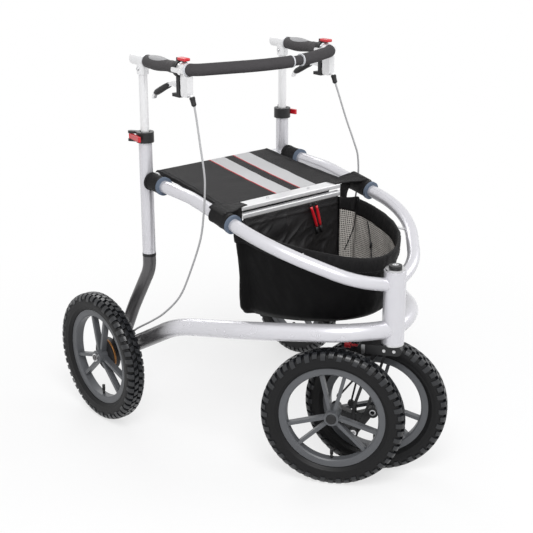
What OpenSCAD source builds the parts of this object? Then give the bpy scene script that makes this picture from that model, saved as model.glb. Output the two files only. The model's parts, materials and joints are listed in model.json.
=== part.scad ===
// All terrain rollator: a bent-tube frame with a sling seat and a bag, two braked
// rear wheels and a swivelling front fork that carries two staggered wheels on a rocker.
// Forward is -Y, the user's left is +X, up is +Z. Lengths are millimetres.
// Inside the modules y is measured from the swivel axis of the fork, backwards.

/* [Wheels] */
// Outer diameter of every tyre
tyre_d = 356; // [320:1:380]
// Width of every tyre
tyre_w = 52; // [44:1:56]
// Diameter over the rim flanges
rim_d = 264; // [240:1:280]
// Depth of the rim ring, from the flange to the inner face
rim_depth = 18; // [14:1:24]
// Width of the rim ring
rim_w = 26; // [22:1:30]
// Diameter of the hub
hub_d = 36; // [32:1:42]
// Width of one spoke
spoke_w = 9; // [6:0.5:12]
// Depth of the spokes along the axle
spoke_depth = 16; // [10:1:20]
// Diameter of the wheel axles
axle_d = 16; // [12:1:18]
// Outer diameter of the wheel bearings
bearing_d = 26; // [24:1:28]
// Shoulder lugs around each tyre
lug_count = 30; // [12:1:40]

/* [Rear wheels] */
// Distance between the rear wheels
track = 702; // [660:1:760]
// Distance from the swivel axis to the rear axle
wheelbase = 752; // [700:1:820]
// Diameter of the brake drums
drum_d = 90; // [80:1:100]
// Depth of the brake drums
drum_depth = 17; // [14:1:18]

/* [Front fork] */
// Angle that the fork is turned to
heading = 36.7; // [30:0.1:45]
// Sideways distance between the two front wheels
pair_spacing = 99; // [96:1:120]
// Fore and aft distance between the two front wheels
pair_stagger = 93; // [80:1:110]
// Distance that the rocker pin trails behind the swivel axis
trail = 88; // [80:1:100]
// Depth of the rocker pin below the axles
pivot_drop = 58; // [50:1:66]
// Width of the crown
crown_w = 36; // [30:1:40]
// Height of the crown
crown_h = 26; // [22:1:30]
// Thickness of the rocker
rocker_t = 20.6; // [16:0.1:22]
// Thickness of one fork blade
blade_t = 4; // [3:0.5:5]

/* [Frame] */
// Diameter of the head tube
head_d = 54; // [50:1:60]
// Wall of the head tube
head_wall = 4; // [3:0.5:6]
// Height of the head tube's lower end
head_low = 367; // [364:1:380]
// Height of the head tube's upper end
head_high = 551; // [545:1:600]
// Diameter of the top tubes
top_d = 32; // [28:1:36]
// Diameter of the lower tubes
lower_d = 44; // [40:1:46]
// Diameter of the uprights
upright_d = 35; // [32:1:38]
// Wall of the uprights
upright_wall = 3; // [2:0.5:3.5]
// Distance between the uprights
upright_spacing = 468; // [440:1:500]
// Distance from the swivel axis to the uprights
upright_back = 678; // [660:1:700]
// How far the uprights stand above the rear ends of the top tubes
upright_rise = 114; // [90:1:140]
// Height of the black band on the uprights
band_z = 466; // [460:1:490]

/* [Handlebar] */
// Diameter of the handlebar tube
bar_d = 22.2; // [20:0.1:25]
// How far the handlebar stands above the uprights
leg_show = 197; // [174:1:254]
// How far the handlebar's bow reaches in front of its corners
bow_reach = 120; // [100:1:130]
// Bend radius of the handlebar corners
bar_bend = 52; // [40:1:56]
// Bend radius of the handlebar's bow
bow_bend = 258; // [200:1:280]
// Diameter of the foam
foam_d = 30; // [28:1:34]
// Length of a hand grip
grip_l = 128; // [110:1:135]

/* [Seat and bag] */
// Half width of the seat at its front corners
seat_half = 205; // [180:1:208]
// Half width of the seat at its rear corners
seat_rear_half = 189; // [180:1:205]
// How far the seat sags in the middle
seat_sag = 4; // [2:1:12]
// Height of the seat's front edge
seat_front_z = 655; // [650:1:662]
// Half length of the two bars under the seat's front edge
bar_half = 165; // [140:1:175]
// Height of the bag's floor at the back
bag_low = 385; // [375:1:430]
// Thickness of the bag's walls
bag_wall = 4; // [2:0.5:6]
// Gap between the top tubes' axes and the bag's rim
rim_inset = 40; // [36:1:50]

/* [Hidden] */
$fn = 64;
hull_fn = 32;
over = 1;
seat_gap = 0.3;
run_gap = 0.05;
ring_gap = 0.02;
weld_gap = 0.02;

// Radii and levels that several pieces share
tyre_r = tyre_d / 2;
rim_r = rim_d / 2;
axle_r = axle_d / 2;
axle_z = tyre_r;
hub_r = hub_d / 2;
bearing_r = bearing_d / 2;
head_r = head_d / 2;
head_bore_r = head_r - head_wall;
top_r = top_d / 2;
lower_r = lower_d / 2;
upright_r = upright_d / 2;
bore_r = upright_r - upright_wall;
bar_r = bar_d / 2;
side_x = upright_spacing / 2;
rear_x = track / 2;

// Places of the front wheels in the fork's own axes: x to the left, y backwards
pair_half = pair_spacing / 2;
stagger_half = pair_stagger / 2;
right_back = trail + stagger_half;
left_back = trail - stagger_half;
pivot_z = axle_z - pivot_drop;

// Half of the tyre's profile, from the bead to the crown: radius and half width
rim_in_r = rim_r - rim_depth;
bead_r_share = 0.72;
tyre_seat_r = fade(rim_in_r, rim_r, bead_r_share);
flange_t = 2.8;
bead_half = rim_w / 2 - flange_t - seat_gap;
tread_share = 0.5;
tread_half = tread_share * tyre_w / 2;
tyre_r_shares = [0, 0.105, 0.125, 0.35, 0.55, 0.75, 0.9, 1];
tyre_w_shares = [0, 0, 0.32, 0.88, 1, 0.95, 0.76, 0.19];
tread_w_share = (tread_half - bead_half) / (tyre_w / 2 - bead_half);
tyre_side = [for (i = [0 : len(tyre_r_shares) - 1]) [fade(tyre_seat_r, tyre_r, tyre_r_shares[i]),
    fade(bead_half, tyre_w / 2, i == len(tyre_r_shares) - 1 ? tread_w_share : tyre_w_shares[i])]];

// The part's origin lies on the floor, half way between the front and the rear tyres
left_y = pair_half * sin(heading) + left_back * cos(heading);
front_reach = max([for (p = tyre_side) p[0] * cos(heading) + p[1] * sin(heading)]);
mid_y = (wheelbase + tyre_r + left_y - front_reach) / 2;

silver = [0.82, 0.81, 0.84];
graphite = [0.2, 0.2, 0.21];
black = [0.07, 0.07, 0.075];
dark_grey = [0.3, 0.3, 0.32];
red = [0.75, 0.05, 0.08];
steel = [0.6, 0.6, 0.62];
pale_grey = [0.72, 0.74, 0.77];
blue_grey = [0.35, 0.42, 0.52];

module place() translate([0, -mid_y, 0]) children();
module both() for (side = [-1, 1]) at_side(side) children();
module at_side(side) if (side < 0) mirror([1, 0, 0]) children(); else children();
module in_fork() place() rotate([0, 0, heading]) children();

// Turns a drawing of the side view, y across and z up, into a solid that lies along x
module side_view() rotate([90, 0, 90]) children();
module plate(from_x, to_x) translate([from_x, 0, 0]) side_view() linear_extrude(to_x - from_x) children();
module along_x(r, from_x, to_x, y, z) translate([from_x, y, z]) rotate([0, 90, 0])
    cylinder(r = r, h = to_x - from_x);
module along_y(r, from_y, to_y, x, z) translate([x, from_y, z]) rotate([-90, 0, 0])
    cylinder(r = r, h = to_y - from_y);
module upright_rod(r, from_z, to_z, x, y) translate([x, y, from_z]) cylinder(r = r, h = to_z - from_z);
module block(low, high) translate(low) cube(high - low);

// A flat bar with round ends, a little fuller than the bar, between two points of a drawing
waist_share = 0.96;
module link(p, q, w) {
    run = q - p;
    translate(p) rotate(atan2(run[1], run[0])) translate([0, -w * waist_share / 2])
        square([norm(run), w * waist_share]);
    translate(p) circle(d = w);
    translate(q) circle(d = w);
}
module rounded(size, r) {
    translate([-size[0] / 2, -size[1] / 2 + r]) square([size[0], size[1] - 2 * r]);
    translate([-size[0] / 2 + r, -size[1] / 2]) square([size[0] - 2 * r, size[1]]);
    for (u = [-1, 1], v = [-1, 1]) translate([u * (size[0] / 2 - r), v * (size[1] / 2 - r)]) circle(r);
}

function unit(v) = v / norm(v);
function lerp(p, q, t) = p + (q - p) * t;
function fade(a, b, t) = a + (b - a) * t;

// A rod from p to q
module rod(r, p, q) {
    run = q - p;
    translate(p) rotate([0, acos(run[2] / norm(run)), atan2(run[1], run[0])]) cylinder(r = r, h = norm(run));
}

// A tube bent at each inner point of a path, as a tube bender makes it. A shallow swaged
// ring covers each place where a straight length runs into a bend.
swage = 0.2;
swage_half = 1.5;
function turn_at(path, i) = acos(unit(path[i] - path[i - 1]) * unit(path[i + 1] - path[i]));
function set_back(path, bends, i) = bends[i] == 0 ? 0 : bends[i] * tan(turn_at(path, i) / 2);
module bent_tube(path, bends, r) {
    last = len(path) - 1;
    for (i = [0 : last - 1]) {
        run = unit(path[i + 1] - path[i]);
        rod(r, path[i] + run * set_back(path, bends, i), path[i + 1] - run * set_back(path, bends, i + 1));
    }
    for (i = [1 : last - 1]) {
        way_in = unit(path[i] - path[i - 1]);
        way_out = unit(path[i + 1] - path[i]);
        inward = unit(way_out - way_in * (way_in * way_out));
        up = cross(way_in, inward);
        centre = path[i] - way_in * set_back(path, bends, i) + inward * bends[i];
        multmatrix([for (k = [0 : 2]) [-inward[k], way_in[k], up[k], centre[k]]])
            rotate_extrude(angle = turn_at(path, i)) translate([bends[i], 0]) circle(r);
        bend_start = path[i] - way_in * set_back(path, bends, i);
        bend_end = path[i] + way_out * set_back(path, bends, i);
        rod(r + swage, bend_start - way_in * swage_half, bend_start + way_in * swage_half);
        rod(r + swage, bend_end - way_out * swage_half, bend_end + way_out * swage_half);
    }
}

// A thin tube swept along a smooth curve through the points of a route
function curve_point(p, i, t) =
    let (a = p[max(i - 1, 0)], b = p[i], c = p[i + 1], d = p[min(i + 2, len(p) - 1)])
    (b * 2 + (c - a) * t + (a * 2 - b * 5 + c * 4 - d) * t * t + (b * 3 - a - c * 3 + d) * t * t * t) / 2;
function smooth_route(p, steps) = [for (i = [0 : len(p) - 2], k = [0 : steps - 1]) curve_point(p, i, k / steps),
    p[len(p) - 1]];
function way(p, i) = unit(p[min(i + 1, len(p) - 1)] - p[max(i - 1, 0)]);
function ring_at(c, dir, r, sides) = let (u = unit(cross(dir, [0, 1, 0.2])), v = cross(dir, u))
    [for (k = [0 : sides - 1]) c + (u * cos(k * 360 / sides) + v * sin(k * 360 / sides)) * r];
module swept(p, r, sides) {
    n = len(p);
    points = [for (i = [0 : n - 1]) each ring_at(p[i], way(p, i), r, sides)];
    skin = [for (i = [0 : n - 2], k = [0 : sides - 1]) let (a = i * sides + k, b = i * sides + (k + 1) % sides)
        each [[a, b, b + sides], [a, b + sides, a + sides]]];
    ends = [[for (k = [sides - 1 : -1 : 0]) k], [for (k = [0 : sides - 1]) (n - 1) * sides + k]];
    polyhedron(points, concat(skin, ends), convexity = 6);
}

// Head tube and the two headset races in its ends
race_depth = 12;
race_lip = 3.4;
top_race_lip = 5;
top_race_r = 24;
steerer_r = 14;
module head_tube() color(silver) place() difference() {
    upright_rod(head_r, head_low, head_high, 0, 0);
    upright_rod(head_bore_r, head_low - over, head_high + over, 0, 0);
}
module headset_races() color(steel) place() {
    difference() {
        union() {
            upright_rod(head_r, head_low - race_lip, head_low, 0, 0);
            upright_rod(head_bore_r, head_low - race_lip, head_low + race_depth, 0, 0);
        }
        upright_rod(steerer_r + run_gap, head_low - race_lip - over, head_low + race_depth + over, 0, 0);
    }
    difference() {
        union() {
            upright_rod(top_race_r, head_high, head_high + top_race_lip, 0, 0);
            upright_rod(head_bore_r, head_high - race_depth, head_high + top_race_lip, 0, 0);
        }
        upright_rod(steerer_r + run_gap, head_high - race_depth - over, head_high + top_race_lip + over, 0, 0);
    }
}

// Top tubes: from an upright forwards, then round the bag to the head tube
hoop_rear_z = 672;
upright_high = hoop_rear_z + upright_rise;
bar_z = upright_high + leg_show;
hoop_front_z = 512;
hoop_x_shares = [1, 1, 0.996, 0.44, 0];
hoop_y_shares = [1, 0.717, 0.2625, 0.0487, 0];
hoop_z_shares = [1, 0.95, 0.6, 0.156, 0];
hoop_bends = [0, 300, 290, 190, 0];
hoop = [for (i = [0 : 4]) [hoop_x_shares[i] * side_x, hoop_y_shares[i] * upright_back,
    fade(hoop_front_z, hoop_rear_z, hoop_z_shares[i])]];
module top_tube_solid() bent_tube(hoop, hoop_bends, top_r);
module top_tube(side) color(silver) place() at_side(side) difference() {
    top_tube_solid();
    upright_rod(head_r + weld_gap, head_low, head_high, 0, 0);
    upright_rod(upright_r + weld_gap, band_z, upright_high, side_x, upright_back);
}
module top_tube_right() top_tube(-1);
module top_tube_left() top_tube(1);

// Lower tubes: from the head tube out and down to the rear axle
lower_front_z = 402;
bracket_x = 292;
lower_x_shares = [0, 0.366, 0.849, 1.01, 1];
lower_y_shares = [0, 0.041, 0.327, 0.63, 1];
lower_z_shares = [1, 1.022, 0.924, 0.714, 0];
lower_bends = [0, 205, 300, 310, 0];
lower = [for (i = [0 : 4]) [lower_x_shares[i] * bracket_x, lower_y_shares[i] * wheelbase,
    fade(axle_z, lower_front_z, lower_z_shares[i])]];
boss_r = 24;
boss_half = 23.5;
module lower_solid() bent_tube(lower, lower_bends, lower_r);
module boss(r, more) along_x(r, bracket_x - boss_half - more, bracket_x + boss_half + more, wheelbase, axle_z);
module lower_tube(side) color(silver) place() at_side(side) difference() {
    lower_solid();
    upright_rod(head_r + weld_gap, head_low, head_high, 0, 0);
    boss(boss_r + weld_gap, over);
}
module lower_tube_right() lower_tube(-1);
module lower_tube_left() lower_tube(1);

// Uprights, the black band below each, and the lower legs down to the axle brackets
band_h = 8;
band_low = band_z - band_h / 2;
band_high = band_z + band_h / 2;
band_lip = 0.6;
knee_z = 425;
knee_out = 24;
knee_back = 47;
knee_share = 0.534;
leg_toe = 4;
leg_bends = [0, 105, 180, 0];
leg = [[side_x, upright_back, band_low], [side_x, upright_back, knee_z],
    [side_x + knee_out, upright_back + knee_back, fade(axle_z, knee_z, knee_share)],
    [bracket_x + leg_toe, wheelbase, axle_z]];
module upright(side) color(silver) place() at_side(side) difference() {
    upright_rod(upright_r, band_high, upright_high, side_x, upright_back);
    upright_rod(bore_r, band_high - over, upright_high + over, side_x, upright_back);
}
module upright_right() upright(-1);
module upright_left() upright(1);
module upright_bands() place() both() difference() {
    upright_rod(upright_r + band_lip, band_low, band_high, side_x, upright_back);
    upright_rod(bore_r, band_low - over, band_high + over, side_x, upright_back);
}
module lower_leg(side) color(graphite) place() at_side(side) difference() {
    bent_tube(leg, leg_bends, upright_r);
    boss(boss_r + weld_gap, over);
    bent_tube(lower, lower_bends, lower_r + weld_gap);
}
module lower_leg_right() lower_leg(-1);
module lower_leg_left() lower_leg(1);
module rear_brackets() color(graphite) place() both() difference() {
    boss(boss_r, 0);
    boss(axle_r, over);
}

// Rear cross tube, front bars and the screws in them
rear_tube_r = 11;
rear_tube_back = 10;
rear_tube_z = 670;
module seat_rear_tube() difference() {
    along_x(rear_tube_r, -side_x, side_x, upright_back + rear_tube_back, rear_tube_z);
    both() upright_rod(upright_r + weld_gap, band_z, upright_high, side_x, upright_back);
}
bar_y = 383.5;
bar_size = [39, 12];
bar_round = 3;
low_bar_size = [16, 13];
low_bar_y = 372;
bar_step = 8;
low_bar_z = seat_front_z - bar_size[1] - bar_step - low_bar_size[1] / 2;
module seat_bars() color(silver) place() {
    seat_rear_tube();
    translate([0, bar_y, seat_front_z - bar_size[1] / 2])
        plate(-bar_half, bar_half) rounded(bar_size, bar_round);
    translate([0, low_bar_y, low_bar_z]) plate(-bar_half, bar_half) rounded(low_bar_size, bar_round);
}
screw_r = 4;
screw_h = 3;
screw_x_shares = [-0.42, 0.42];
peg_r = 3;
peg_slack = 0.65;
peg_angles = [38, 142];
module small_fasteners() color(steel) place() {
    for (s = screw_x_shares) upright_rod(screw_r, seat_front_z, seat_front_z + screw_h, s * bar_half, bar_y);
    for (a = peg_angles) let (run = unit(hoop_point(a) - rim_point(a)))
        rod(peg_r, rim_point(a) + run * (bead_r + rim_lift), hoop_point(a) - run * (top_r + peg_slack));
}

// Seat: a cloth sling, drawn in at the sides and sagging in the middle
seat_rear_y = 702;
seat_rear_z = 684;
seat_front_y = bar_y + bar_size[0] / 2 + seat_gap;
seat_t = 3;
seat_waist = 14;
seat_across = 14;
seat_along = 14;
function seat_point(u, v) = [u * (fade(seat_half, seat_rear_half, v) - seat_waist * sin(180 * v)),
    fade(seat_front_y, seat_rear_y, v),
    fade(seat_front_z - seat_t, seat_rear_z, v) - seat_sag * sin(180 * v) * (1 - u * u)];
function grid_faces(nu, nv, first, flip) = [for (i = [0 : nu - 1], j = [0 : nv - 1])
    let (a = first + i * (nv + 1) + j, b = a + nv + 1)
    each (flip ? [[a, a + 1, b + 1], [a, b + 1, b]] : [[a, b + 1, a + 1], [a, b, b + 1]])];
function edge_loop(nu, nv) = concat([for (i = [0 : nu]) i * (nv + 1)], [for (j = [1 : nv]) nu * (nv + 1) + j],
    [for (i = [nu - 1 : -1 : 0]) i * (nv + 1) + nv], [for (j = [nv - 1 : -1 : 1]) j]);
module seat_panel() color(black) place() {
    low = [for (i = [0 : seat_across], j = [0 : seat_along])
        seat_point(2 * i / seat_across - 1, j / seat_along)];
    high = [for (p = low) p + [0, 0, seat_t]];
    n = len(low);
    loop = edge_loop(seat_across, seat_along);
    wall = [for (k = [0 : len(loop) - 1]) let (a = loop[k], b = loop[(k + 1) % len(loop)])
        each [[a, b + n, b], [a, a + n, b + n]]];
    polyhedron(concat(low, high), concat(grid_faces(seat_across, seat_along, 0, false),
        grid_faces(seat_across, seat_along, n, true), wall), convexity = 4);
}

// Cloth sleeves that tie the seat to the top tubes, each with a foam ring at its front
sleeve_r = 22;
sleeve_ring_r = 24;
sleeve_ring_l = 7;
rear_sleeve_shares = [0.15, 0.38];
front_sleeve_shares = [0.32, 0.53];
flap_z = 11;
flap_half = 17;
module sleeve_on(p, q, shares, r) difference() {
    rod(r, lerp(p, q, shares[0]), lerp(p, q, shares[1]));
    rod(top_r + weld_gap, p, q);
}
module sleeve_ring_on(p, q, share) difference() {
    rod(sleeve_ring_r, lerp(p, q, share) + unit(q - p) * seat_gap,
        lerp(p, q, share) + unit(q - p) * (seat_gap + sleeve_ring_l));
    rod(top_r + weld_gap, p, q);
}
module seat_sleeves() color(black) place() both() {
    sleeve_on(hoop[0], hoop[1], rear_sleeve_shares, sleeve_r);
    difference() {
        union() {
            rod(sleeve_r, lerp(hoop[1], hoop[2], front_sleeve_shares[0]),
                lerp(hoop[1], hoop[2], front_sleeve_shares[1]));
            block([bar_half + weld_gap, bar_y - flap_half, seat_front_z - flap_z],
                [side_x, bar_y + flap_half, seat_front_z]);
        }
        rod(top_r + weld_gap, hoop[1], hoop[2]);
    }
}
module sleeve_rings() color(blue_grey) place() both() {
    sleeve_ring_on(hoop[0], hoop[1], rear_sleeve_shares[1]);
    sleeve_ring_on(hoop[1], hoop[0], 1 - rear_sleeve_shares[0]);
    sleeve_ring_on(hoop[1], hoop[2], front_sleeve_shares[1]);
}

// Bag: a D-shaped bucket under the top tubes with a padded rim round its open top
bag_back = 368;
bag_straight = 46;
bag_mid = bag_back - bag_straight;
hoop_nose = 6;
hoop_reach = bag_mid - hoop_nose;
rim_drop = 12.6;
rim_fall = 44;
rim_fall_share = 0.68;
bead_r = 8;
floor_inset = 64;
floor_front = 69;
floor_rise = 26;
hoop_level = 633;
bag_steps = 24;
bag_top = low_bar_z - low_bar_size[1] / 2 - seat_gap;
fall_share = 0.55;
function hoop_fall(s) = 1 - fall_share * s - (1 - fall_share) * pow(s, 3);
function hoop_height(s) = fade(hoop_front_z, hoop_level, hoop_fall(s));
function hoop_point(a) = [side_x * cos(a), bag_mid - hoop_reach * sin(a), hoop_height(sin(a))];
function rim_z(s) = bag_top - rim_drop - rim_fall * (rim_fall_share * s + (1 - rim_fall_share) * pow(s, 6));
function rim_point(a) = [(side_x - rim_inset) * cos(a), bag_mid - (hoop_reach - rim_inset) * sin(a),
    rim_z(sin(a))];
function floor_z(s) = bag_low + floor_rise * s;
function bag_ring(in, level) = concat([for (k = [0 : bag_steps]) let (a = 180 * k / bag_steps, s = sin(a))
        level == 1
        ? [(side_x - rim_inset - in) * cos(a), bag_mid - (hoop_reach - rim_inset - in) * s, rim_z(s) - bead_r]
        : [(side_x - floor_inset - in) * cos(a), bag_mid - (hoop_reach - floor_front - in) * s,
            floor_z(s) + in]],
    [for (u = [-1, 1]) level == 1 ? [u * (side_x - rim_inset - in), bag_back - in, bag_top]
        : [u * (side_x - floor_inset - in), bag_back - in, bag_low + in]]);
module bag() color(black) place() {
    n = bag_steps + 3;
    rings = [bag_ring(0, 1), bag_ring(0, 0), bag_ring(bag_wall, 0), bag_ring(bag_wall, 1)];
    hub_low = [0, bag_mid, bag_low];
    hub_high = [0, bag_mid, bag_low + bag_wall];
    points = concat(rings[0], rings[1], rings[2], rings[3], [hub_low, hub_high]);
    walls = [for (i = [0 : 3], k = [0 : n - 1]) let (m = (k + 1) % n, a = i * n, b = ((i + 1) % 4) * n)
        if (i != 1) each [[a + k, a + m, b + m], [a + k, b + m, b + k]]];
    floors = [for (k = [0 : n - 1]) let (m = (k + 1) % n)
        each [[n + k, n + m, 4 * n], [2 * n + m, 2 * n + k, 4 * n + 1]]];
    polyhedron(points, concat(walls, floors), convexity = 6);
}
rim_sides = 8;
rim_lift = 0.9;
rim_end_angles = [4, 176];
module bag_rim() color(black) place() swept([for (k = [0 : bag_steps])
    rim_point(fade(rim_end_angles[0], rim_end_angles[1], k / bag_steps)) + [0, 0, rim_lift]],
    bead_r, rim_sides);
pull_w = 8;
pull_t = 4;
pull_high_share = 0.95;
pull_low_share = 0.62;
pull_x = 59;
pull_lean = 25;
pull_step = 19;
module zip_pulls() color(red) place() for (k = [0, 1]) let (x = pull_x + k * pull_step)
    translate([0, bag_back - bag_wall - seat_gap, 0]) rotate([90, 0, 0]) linear_extrude(pull_t)
        link([x, fade(bag_low, bag_top, pull_high_share)],
            [x + pull_lean, fade(bag_low, bag_top, pull_low_share)], pull_w);

// Clamp collars on the uprights, the guide bushes inside and the cam levers
collar_r = 23;
collar_low = 14;
collar_high = 13;
collar_lip = 2;
collar_lip_r = bar_r + collar_lip;
cam_out = 21.5;
cam_back = 34;
cam_tip_out = 32;
cam_tip_back = -20;
cam_w = 8;
cam_h = 13;
cam_eye = 2;
ear_t = 6;
ear_w = 14;
cam_pin_r = 3;
bush_l = 46;
module collar_shape() difference() {
    union() {
        upright_rod(collar_r, -collar_low, collar_high, 0, 0);
        for (z = [-collar_low, collar_high - ear_t]) translate([0, 0, z])
            linear_extrude(ear_t) link([cam_out / 2, cam_back / 2], [cam_out, cam_back], ear_w);
        upright_rod(cam_pin_r, -collar_low, collar_high, cam_out, cam_back);
    }
    upright_rod(upright_r, -collar_low - over, 0, 0, 0);
    upright_rod(collar_lip_r, -over, collar_high + over, 0, 0);
}
module at_collar(side) place() at_side(side) translate([side_x, upright_back, upright_high]) children();
module collars() color(black) for (side = [-1, 1]) at_collar(side) collar_shape();
module leg_bushes() for (side = [-1, 1]) at_collar(side) difference() {
    upright_rod(bore_r, -bush_l, 0, 0, 0);
    upright_rod(bar_r + run_gap, -bush_l - over, over, 0, 0);
}
module upright_rings() color(black) {
    upright_bands();
    leg_bushes();
}
module cam_lever(side) color(red) at_collar(side) difference() {
    cam_mid = (collar_high - collar_low) / 2;
    translate([0, 0, cam_mid - cam_h / 2]) linear_extrude(cam_h) {
        link([cam_out, cam_back], [cam_tip_out, cam_tip_back], cam_w);
        translate([cam_out, cam_back]) circle(d = cam_w + cam_eye);
    }
    upright_rod(cam_pin_r + run_gap, cam_mid - cam_h, cam_mid + cam_h, cam_out, cam_back);
}
module cam_lever_right() cam_lever(-1);
module cam_lever_left() cam_lever(1);

// Handlebar: two legs, two elbow castings and the bowed bar that they hold
leg_foot_z = 590;
leg_bore = 2;
leg_head = 18;
elbow_r = 15;
elbow_back = 38;
elbow_front = 18;
elbow_drop = 35;
bar_tail = 30;
cap_r = 13;
cap_t = 3;
bow_rise = 9;
grip_rear = upright_back - elbow_front - seat_gap;
grip_front = grip_rear - grip_l;
clamp_ahead = 43.2;
clamp_y = grip_front - clamp_ahead;
corner_ahead = 12.5;
corner_y = clamp_y - corner_ahead;
bar_path = [[-side_x, upright_back + bar_tail, bar_z], [-side_x, corner_y, bar_z],
    [0, corner_y - bow_reach, bar_z + bow_rise], [side_x, corner_y, bar_z],
    [side_x, upright_back + bar_tail, bar_z]];
bar_bends = [0, bar_bend, bow_bend, bar_bend, 0];
module bar_solid(r) bent_tube(bar_path, bar_bends, r);
module handlebar_tube() color(silver) place() bar_solid(bar_r);
module handle_legs() color(silver) place() both() difference() {
    upright_rod(bar_r, leg_foot_z, bar_z - leg_head, side_x, upright_back);
    upright_rod(bar_r - leg_bore, leg_foot_z - over, bar_z - leg_head - over, side_x, upright_back);
}
module handle_elbows() color(silver) place() both() difference() {
    union() {
        along_y(elbow_r, upright_back - elbow_front, upright_back + elbow_back, side_x, bar_z);
        upright_rod(elbow_r, bar_z - elbow_drop, bar_z, side_x, upright_back);
        along_y(cap_r, upright_back + elbow_back, upright_back + elbow_back + cap_t, side_x, bar_z);
    }
    along_y(bar_r, upright_back - elbow_front - over, upright_back + bar_tail, side_x, bar_z);
    upright_rod(bar_r, bar_z - elbow_drop - over, bar_z - leg_head, side_x, upright_back);
}

// Foam on the front bar, the thin sleeve near its middle and the pale rings at the ends
foam_r = foam_d / 2;
foam_ring_l = 4;
foam_ring_lip = 0.5;
foam_ring_r = foam_r + foam_ring_lip;
foam_clear = 0.5;
foam_end = clamp_y - foam_clear - foam_ring_l;
foam_far = side_x + foam_d;
gap_x_shares = [0.04, 0.21];
thin_r = 12.2;
gap_x = [for (s = gap_x_shares) s * side_x];
module bar_cut(r, from_x, to_x, from_y, to_y) intersection() {
    bar_solid(r);
    block([from_x, from_y, bar_z - foam_d], [to_x, to_y, bar_z + foam_d]);
}
module bow_cut(r, from_x, to_x) bar_cut(r, from_x, to_x, corner_y - bow_reach - foam_d, foam_end);
module foam_sleeves() color(dark_grey) place() difference() {
    union() {
        bow_cut(foam_r, -foam_far, gap_x[0]);
        bow_cut(foam_r, gap_x[1], foam_far);
        bow_cut(thin_r, gap_x[0] + foam_ring_l + seat_gap, gap_x[1] - foam_ring_l - seat_gap);
    }
    bar_solid(bar_r);
}
module foam_rings() color(pale_grey) place() difference() {
    union() {
        bow_cut(foam_ring_r, gap_x[0], gap_x[0] + foam_ring_l);
        bow_cut(foam_ring_r, gap_x[1] - foam_ring_l, gap_x[1]);
        bar_cut(foam_ring_r, -foam_far, foam_far, foam_end, foam_end + foam_ring_l);
    }
    bar_solid(bar_r);
}

// Hand grips with a palm rest that widens towards the user
grip_r = 16;
palm_r = 17.5;
palm_wide_share = 1.25;
palm_share = 0.78;
grip_lip = 5;
module grip(side) color(dark_grey) place() at_side(side) difference() {
    hull() {
        along_y(grip_r, grip_front, grip_front + grip_lip, side_x, bar_z, $fn = hull_fn);
        translate([side_x, fade(grip_front, grip_rear, palm_share), bar_z]) scale([palm_wide_share, 1, 1])
            sphere(palm_r, $fn = hull_fn);
        along_y(grip_r, grip_rear - grip_lip, grip_rear, side_x, bar_z, $fn = hull_fn);
    }
    along_y(bar_r, grip_front - over, grip_rear + over, side_x, bar_z);
}
module grip_right() grip(-1);
module grip_left() grip(1);

// Brake lever housings on the bar, with the ears that carry the parking levers
lever_ahead = 122.7;
lever_base = grip_front - lever_ahead;
body_back = 96;
housing_front = 69;
body_y = lever_base + body_back;
clamp_r = 16;
body_w = 18;
body_low = 66;
body_high = 10;
body_round = 5;
lever_slot_w = 10.4;
lever_pin_back = 88;
lever_pin_drop = 45;
lever_pin_y = lever_base + lever_pin_back;
lever_pin_z = bar_z - lever_pin_drop;
lever_pin_r = 3;
slot_back = 76;
slot_y = lever_base + slot_back;
ear_in = 21.6;
ear_out = 25;
park_back = 107;
park_y = lever_base + park_back;
park_pin_r = 3;
park_ear_h = 12;
park_pin_in = 17.6;
barrel_r = 6;
barrel_l = 24;
barrel_back = 64;
barrel_drop = 60;
barrel_y = lever_base + barrel_back;
barrel_z = bar_z - barrel_drop;
barrel_lean = 22;
cable_r = 2.5;
module at_bar(side) place() at_side(side) translate([side_x, 0, 0]) children();
housing_mid = [lever_base + (housing_front + body_back) / 2, bar_z - (body_low + body_high) / 2];
module housing() plate(-body_w / 2, body_w / 2) translate(housing_mid)
    rounded([body_back - housing_front, body_low - body_high], body_round);
module brake_body(side) color(silver) at_bar(side) {
    difference() {
        union() {
            along_y(clamp_r, clamp_y, body_y, 0, bar_z);
            housing();
            for (u = [-1, 1]) plate(min(u * ear_in, u * ear_out), max(u * ear_in, u * ear_out))
                link([clamp_y + park_ear_h / 2, bar_z], [park_y, bar_z], park_ear_h);
            for (u = [-1, 1]) block([min(0, u * ear_out), clamp_y, bar_z - park_ear_h / 2],
                [max(0, u * ear_out), clamp_y + park_ear_h, bar_z + park_ear_h / 2]);
            for (u = [-1, 1]) along_x(park_pin_r, min(u * park_pin_in, u * ear_in),
                max(u * park_pin_in, u * ear_in), park_y, bar_z);
        }
        translate([-side_x, 0, 0]) bar_solid(bar_r);
        block([-body_w, lever_base + housing_front - over, bar_z - foam_ring_r - seat_gap],
            [body_w, clamp_y, bar_z]);
        block([-lever_slot_w / 2, slot_y, bar_z - body_low - over],
            [lever_slot_w / 2, body_y + over, lever_pin_z + lever_slot_w]);
    }
    along_x(lever_pin_r, -body_w / 2, body_w / 2, lever_pin_y, lever_pin_z);
    difference() {
        translate([0, barrel_y, barrel_z]) rotate([180 - barrel_lean, 0, 0])
            cylinder(r = barrel_r, h = barrel_l);
        housing();
    }
}
module brake_body_right() brake_body(-1);
module brake_body_left() brake_body(1);

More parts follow.
